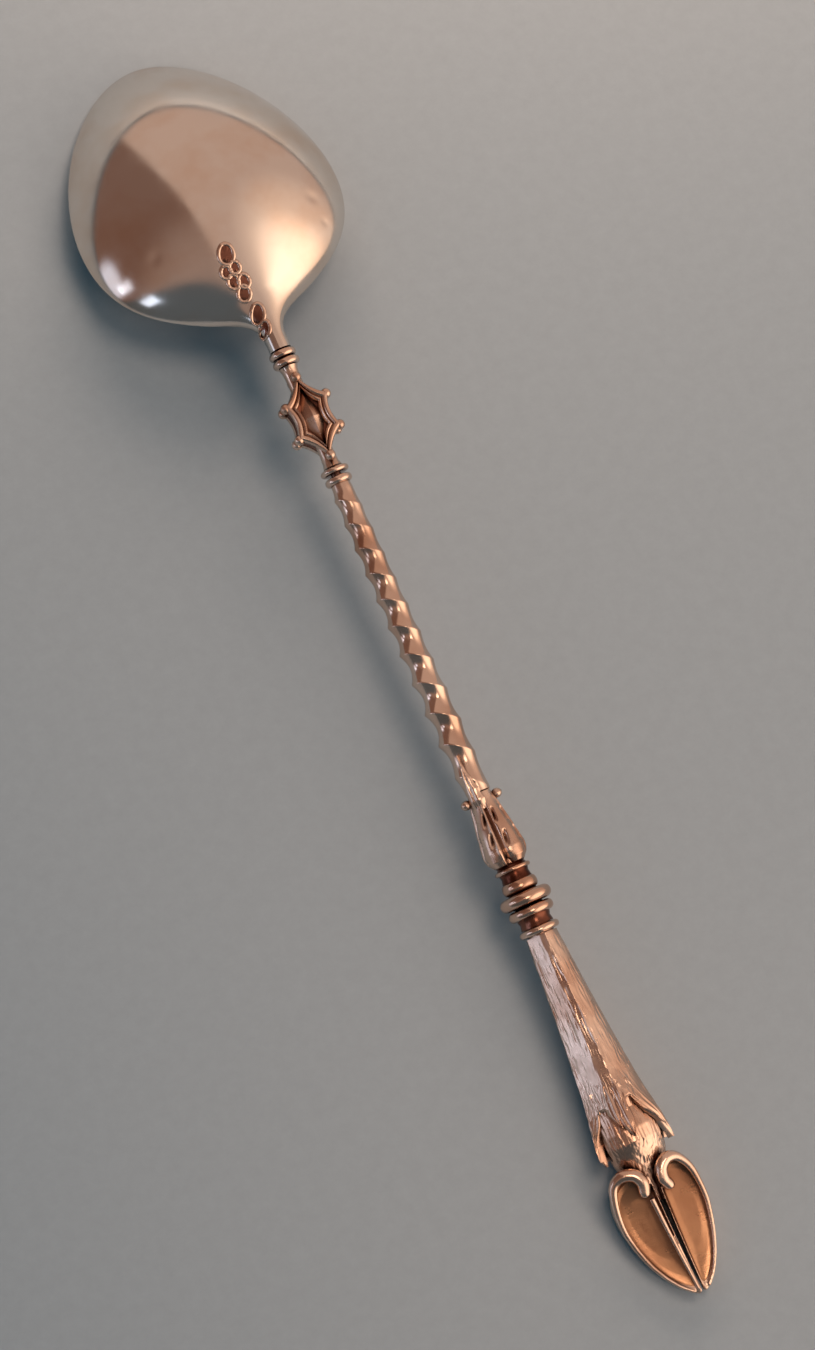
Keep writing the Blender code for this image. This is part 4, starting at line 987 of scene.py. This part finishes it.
def paper(scene):
    """Uncoated grey paper: dull, faintly mottled, with a few dark fibres."""
    colours = scene.spoon_finish
    material = bpy.data.materials.new("uncoated_grey_paper")
    material.use_nodes = True
    tree = material.node_tree
    shader = tree.nodes["Principled BSDF"]
    shader.inputs["Roughness"].default_value = 0.9
    shader.inputs["Specular IOR Level"].default_value = 0.2
    place = node(tree, "ShaderNodeTexCoord").outputs["Object"]
    # Clumps of pulp, a little over a millimetre across
    pulp = node(tree, "ShaderNodeTexNoise", (("Vector", place), ("Scale", per_mm(1.2)), ("Detail", 8.0),
                                              ("Roughness", 0.7)))
    cover = node(tree, "ShaderNodeMapRange", (("Value", pulp.outputs["Fac"]), ("From Min", 0.3), ("From Max", 0.9),
                                               ("To Max", 0.35)))
    mixed = node(tree, "ShaderNodeMix", ((0, cover.outputs[0]), (6, colours.paper), (7, colours.fleck)),
                 data_type='RGBA')
    tree.links.new(mixed.outputs[2], shader.inputs["Base Color"])
    bump = node(tree, "ShaderNodeBump", (("Height", pulp.outputs["Fac"]), ("Strength", 0.15),
                                          ("Distance", 0.05 * MM)))
    tree.links.new(bump.outputs[0], shader.inputs["Normal"])
    return material


# Features of the room that the silver mirrors: (colour, heading, where it begins, where it is full, strength, blend).
# Where is the cosine of the angle from the heading.
ROOM = (("haze", (-0.3, -0.62, 0.72), 0.6, 0.97, 1.0, 'MIX'),
        ("dusk", (0.1, -1.0, -0.25), 0.04, 0.12, 1.0, 'MIX'),
        ("warm", (0.945, 0.28, 0.17), -0.02, 0.03, 1.0, 'MIX'),
        ("lamp", (0.73, -0.52, 0.44), 0.6, 0.97, 0.45, 'ADD'),
        ("lamp", (0.6, -0.62, 0.5), 0.79, 0.94, 1.1, 'ADD'),
        ("window", (-0.985, 0.1, 0.1), 0.962, 0.992, 1.1, 'ADD'))


def room(scene):
    """World: a warm room with a dark side, a lamp and a window for the silver to mirror.

    The paper gets a dim cool light from it, and the camera sees a pale backdrop."""
    stage = scene.spoon_stage
    world = bpy.data.worlds.new("room")
    scene.world = world
    world.use_nodes = True
    tree = world.node_tree
    heading = node(tree, "ShaderNodeTexCoord").outputs["Generated"]
    view = stage.shade
    for name, towards, low, high, strength, blend in ROOM:
        lined_up = node(tree, "ShaderNodeVectorMath", ((0, heading), (1, Vector(towards).normalized())),
                        operation='DOT_PRODUCT')
        cover = node(tree, "ShaderNodeMapRange", (("Value", lined_up.outputs["Value"]), ("From Min", low),
                                                   ("From Max", high), ("To Max", strength)),
                     interpolation_type='SMOOTHSTEP')
        mixed = node(tree, "ShaderNodeMix", ((0, cover.outputs[0]), (6, view), (7, getattr(stage, name))),
                     data_type='RGBA', blend_type=blend)
        view = mixed.outputs[2]
    path = node(tree, "ShaderNodeLightPath")
    lit = node(tree, "ShaderNodeMix", ((0, path.outputs["Is Glossy Ray"]), (6, stage.ambient), (7, view)),
               data_type='RGBA')
    seen = node(tree, "ShaderNodeMix", ((0, path.outputs["Is Camera Ray"]), (6, lit.outputs[2]), (7, stage.backdrop)),
                data_type='RGBA')
    tree.links.new(seen.outputs[2], tree.nodes["Background"].inputs["Color"])


def area_light(name, position, target, size, watts, tint, mirrored=True, spread=pi):
    """A soft light. The silver doesn't mirror one whose image the room already holds."""
    light = bpy.data.lights.new(name, 'AREA')
    light.shape = 'RECTANGLE'
    light.size = size[0]
    light.size_y = size[1]
    light.energy = watts
    light.color = tint[:3]
    light.spread = spread
    obj = bpy.data.objects.new(name, light)
    obj.location = position
    obj.rotation_euler = (Vector(position) - Vector(target)).to_track_quat('Z', 'Y').to_euler()
    obj.visible_glossy = mirrored
    bpy.context.scene.collection.objects.link(obj)


def build_stage(scene):
    """Paper, room, lights and camera."""
    stage = scene.spoon_stage
    mesh = bpy.data.meshes.new("paper")
    # Half the sheet's side, in metres
    reach = 0.6
    mesh.from_pydata([(-reach, -reach, 0), (reach, -reach, 0), (reach, reach, 0), (-reach, reach, 0)], [],
                     [(0, 1, 2, 3)])
    mesh.materials.append(paper(scene))
    sheet = bpy.data.objects.new("paper", mesh)
    scene.collection.objects.link(sheet)
    room(scene)
    # Soft lights on the paper alone
    for name, position, size, watts in (("overhead_key", (0.095, 0.055, 0.301), (0.14, 0.14), 0.385),
                                        ("low_key", (0.123, -0.212, 0.206), (0.14, 0.14), 0.335),
                                        ("top_key", (0.06, 0.14, 0.066), (0.14, 0.06), 0.245)):
        area_light(name, position, (0, 0, 0), size, watts, stage.key, mirrored=False)
    # Two panes and a lamp that show in the silver
    area_light("window_pane_near", (-0.132, -0.023, 0.068), (0, -0.01, 0), (0.022, 0.034), 0.0045, stage.window)
    area_light("window_pane_far", (-0.171, 0.027, 0.056), (0, 0, 0), (0.02, 0.044), 0.0052, stage.window)
    area_light("handle_lamp", (-0.01, -0.06, 0.2), (0, -0.06, 0), (0.06, 0.06), 0.005, stage.lamp,
               spread=radians(45.0))

    camera = bpy.data.cameras.new("camera")
    camera.sensor_fit = 'VERTICAL'
    camera.sensor_height = 36.0
    lens_pixels, picture_height = 3400, 1350
    camera.lens = camera.sensor_height * lens_pixels / picture_height
    camera.clip_start = 0.001
    # The point in the middle of the picture
    target = Vector((-1.02, -1.33, 3.05)) * MM
    level = cos(stage.elevation)
    out = Vector((sin(stage.azimuth) * level, -cos(stage.azimuth) * level, sin(stage.elevation)))
    right = (-out).cross(Vector((0, 1, 0))).normalized()
    up = right.cross(-out)
    rolled_right = right * cos(stage.roll) + up * sin(stage.roll)
    rolled_up = up * cos(stage.roll) - right * sin(stage.roll)
    view = bpy.data.objects.new("camera", camera)
    turned = Matrix((rolled_right, rolled_up, out)).transposed().to_4x4()
    view.matrix_world = Matrix.Translation(target + out * stage.distance) @ turned
    scene.collection.objects.link(view)
    scene.camera = view
    scene.view_settings.view_transform = 'Standard'


class SPOON_OT_bowl(bpy.types.Operator):
    """Raise the bowl with its neck"""
    bl_idname = "spoon.bowl"
    bl_label = "Bowl"

    def execute(self, context):
        build_bowl(context.scene)
        return {'FINISHED'}


class SPOON_OT_rings(bpy.types.Operator):
    """Turn the rings of the neck, collar and baluster"""
    bl_idname = "spoon.rings"
    bl_label = "Rings"

    def execute(self, context):
        build_rings(context.scene)
        return {'FINISHED'}


class SPOON_OT_cartouche(bpy.types.Operator):
    """Cast the six-pointed cartouche with its frames, bosses and beads"""
    bl_idname = "spoon.cartouche"
    bl_label = "Cartouche"

    def execute(self, context):
        build_cartouche(context.scene)
        return {'FINISHED'}


class SPOON_OT_stem(bpy.types.Operator):
    """Twist the stem"""
    bl_idname = "spoon.stem"
    bl_label = "Twisted stem"

    def execute(self, context):
        build_stem(context.scene)
        return {'FINISHED'}


class SPOON_OT_calyx(bpy.types.Operator):
    """Chase the leaves of the calyx"""
    bl_idname = "spoon.calyx"
    bl_label = "Calyx"

    def execute(self, context):
        build_calyx(context.scene)
        return {'FINISHED'}


class SPOON_OT_leg(bpy.types.Operator):
    """Shape the haired leg and its pastern"""
    bl_idname = "spoon.leg"
    bl_label = "Leg"

    def execute(self, context):
        build_leg(context.scene)
        return {'FINISHED'}


class SPOON_OT_fur(bpy.types.Operator):
    """Lay the ragged locks of fur over the pastern"""
    bl_idname = "spoon.fur"
    bl_label = "Fur"

    def execute(self, context):
        build_fur(context.scene)
        return {'FINISHED'}


class SPOON_OT_hoof(bpy.types.Operator):
    """Cast the two claws of the hoof"""
    bl_idname = "spoon.hoof"
    bl_label = "Hoof"

    def execute(self, context):
        build_hoof(context.scene)
        return {'FINISHED'}


class SPOON_OT_stage(bpy.types.Operator):
    """Lay the paper and set the lights and the camera"""
    bl_idname = "spoon.stage"
    bl_label = "Stage"

    def execute(self, context):
        build_stage(context.scene)
        return {'FINISHED'}


OPERATORS = (SPOON_OT_stage, SPOON_OT_bowl, SPOON_OT_rings, SPOON_OT_cartouche, SPOON_OT_stem, SPOON_OT_calyx,
             SPOON_OT_leg, SPOON_OT_fur, SPOON_OT_hoof)
GROUPS = {"spoon_bowl": BowlSizes, "spoon_handle": HandleSizes, "spoon_leg": LegSizes,
          "spoon_finish": FinishColours, "spoon_stage": StageSettings}


class SPOON_PT_parts(bpy.types.Panel):
    """Sizes, finishes and makers of the spoon's pieces"""
    bl_label = "Spoon"
    bl_idname = "SPOON_PT_parts"
    bl_space_type = 'VIEW_3D'
    bl_region_type = 'UI'
    bl_category = "Spoon"

    def draw(self, context):
        for name, group in GROUPS.items():
            box = self.layout.box()
            for key in group.__annotations__:
                box.prop(getattr(context.scene, name), key)
        for operator in OPERATORS:
            self.layout.operator(operator.bl_idname)


def register():
    for cls in (*GROUPS.values(), *OPERATORS, SPOON_PT_parts):
        bpy.utils.register_class(cls)
    for name, group in GROUPS.items():
        setattr(bpy.types.Scene, name, PointerProperty(type=group))


def unregister():
    for name in GROUPS:
        delattr(bpy.types.Scene, name)
    for cls in reversed((*GROUPS.values(), *OPERATORS, SPOON_PT_parts)):
        bpy.utils.unregister_class(cls)


def main():
    register()
    bpy.ops.spoon.stage()
    bpy.ops.spoon.bowl()
    bpy.ops.spoon.rings()
    bpy.ops.spoon.cartouche()
    bpy.ops.spoon.stem()
    bpy.ops.spoon.calyx()
    bpy.ops.spoon.leg()
    bpy.ops.spoon.fur()
    bpy.ops.spoon.hoof()


if __name__ == "__main__":
    main()
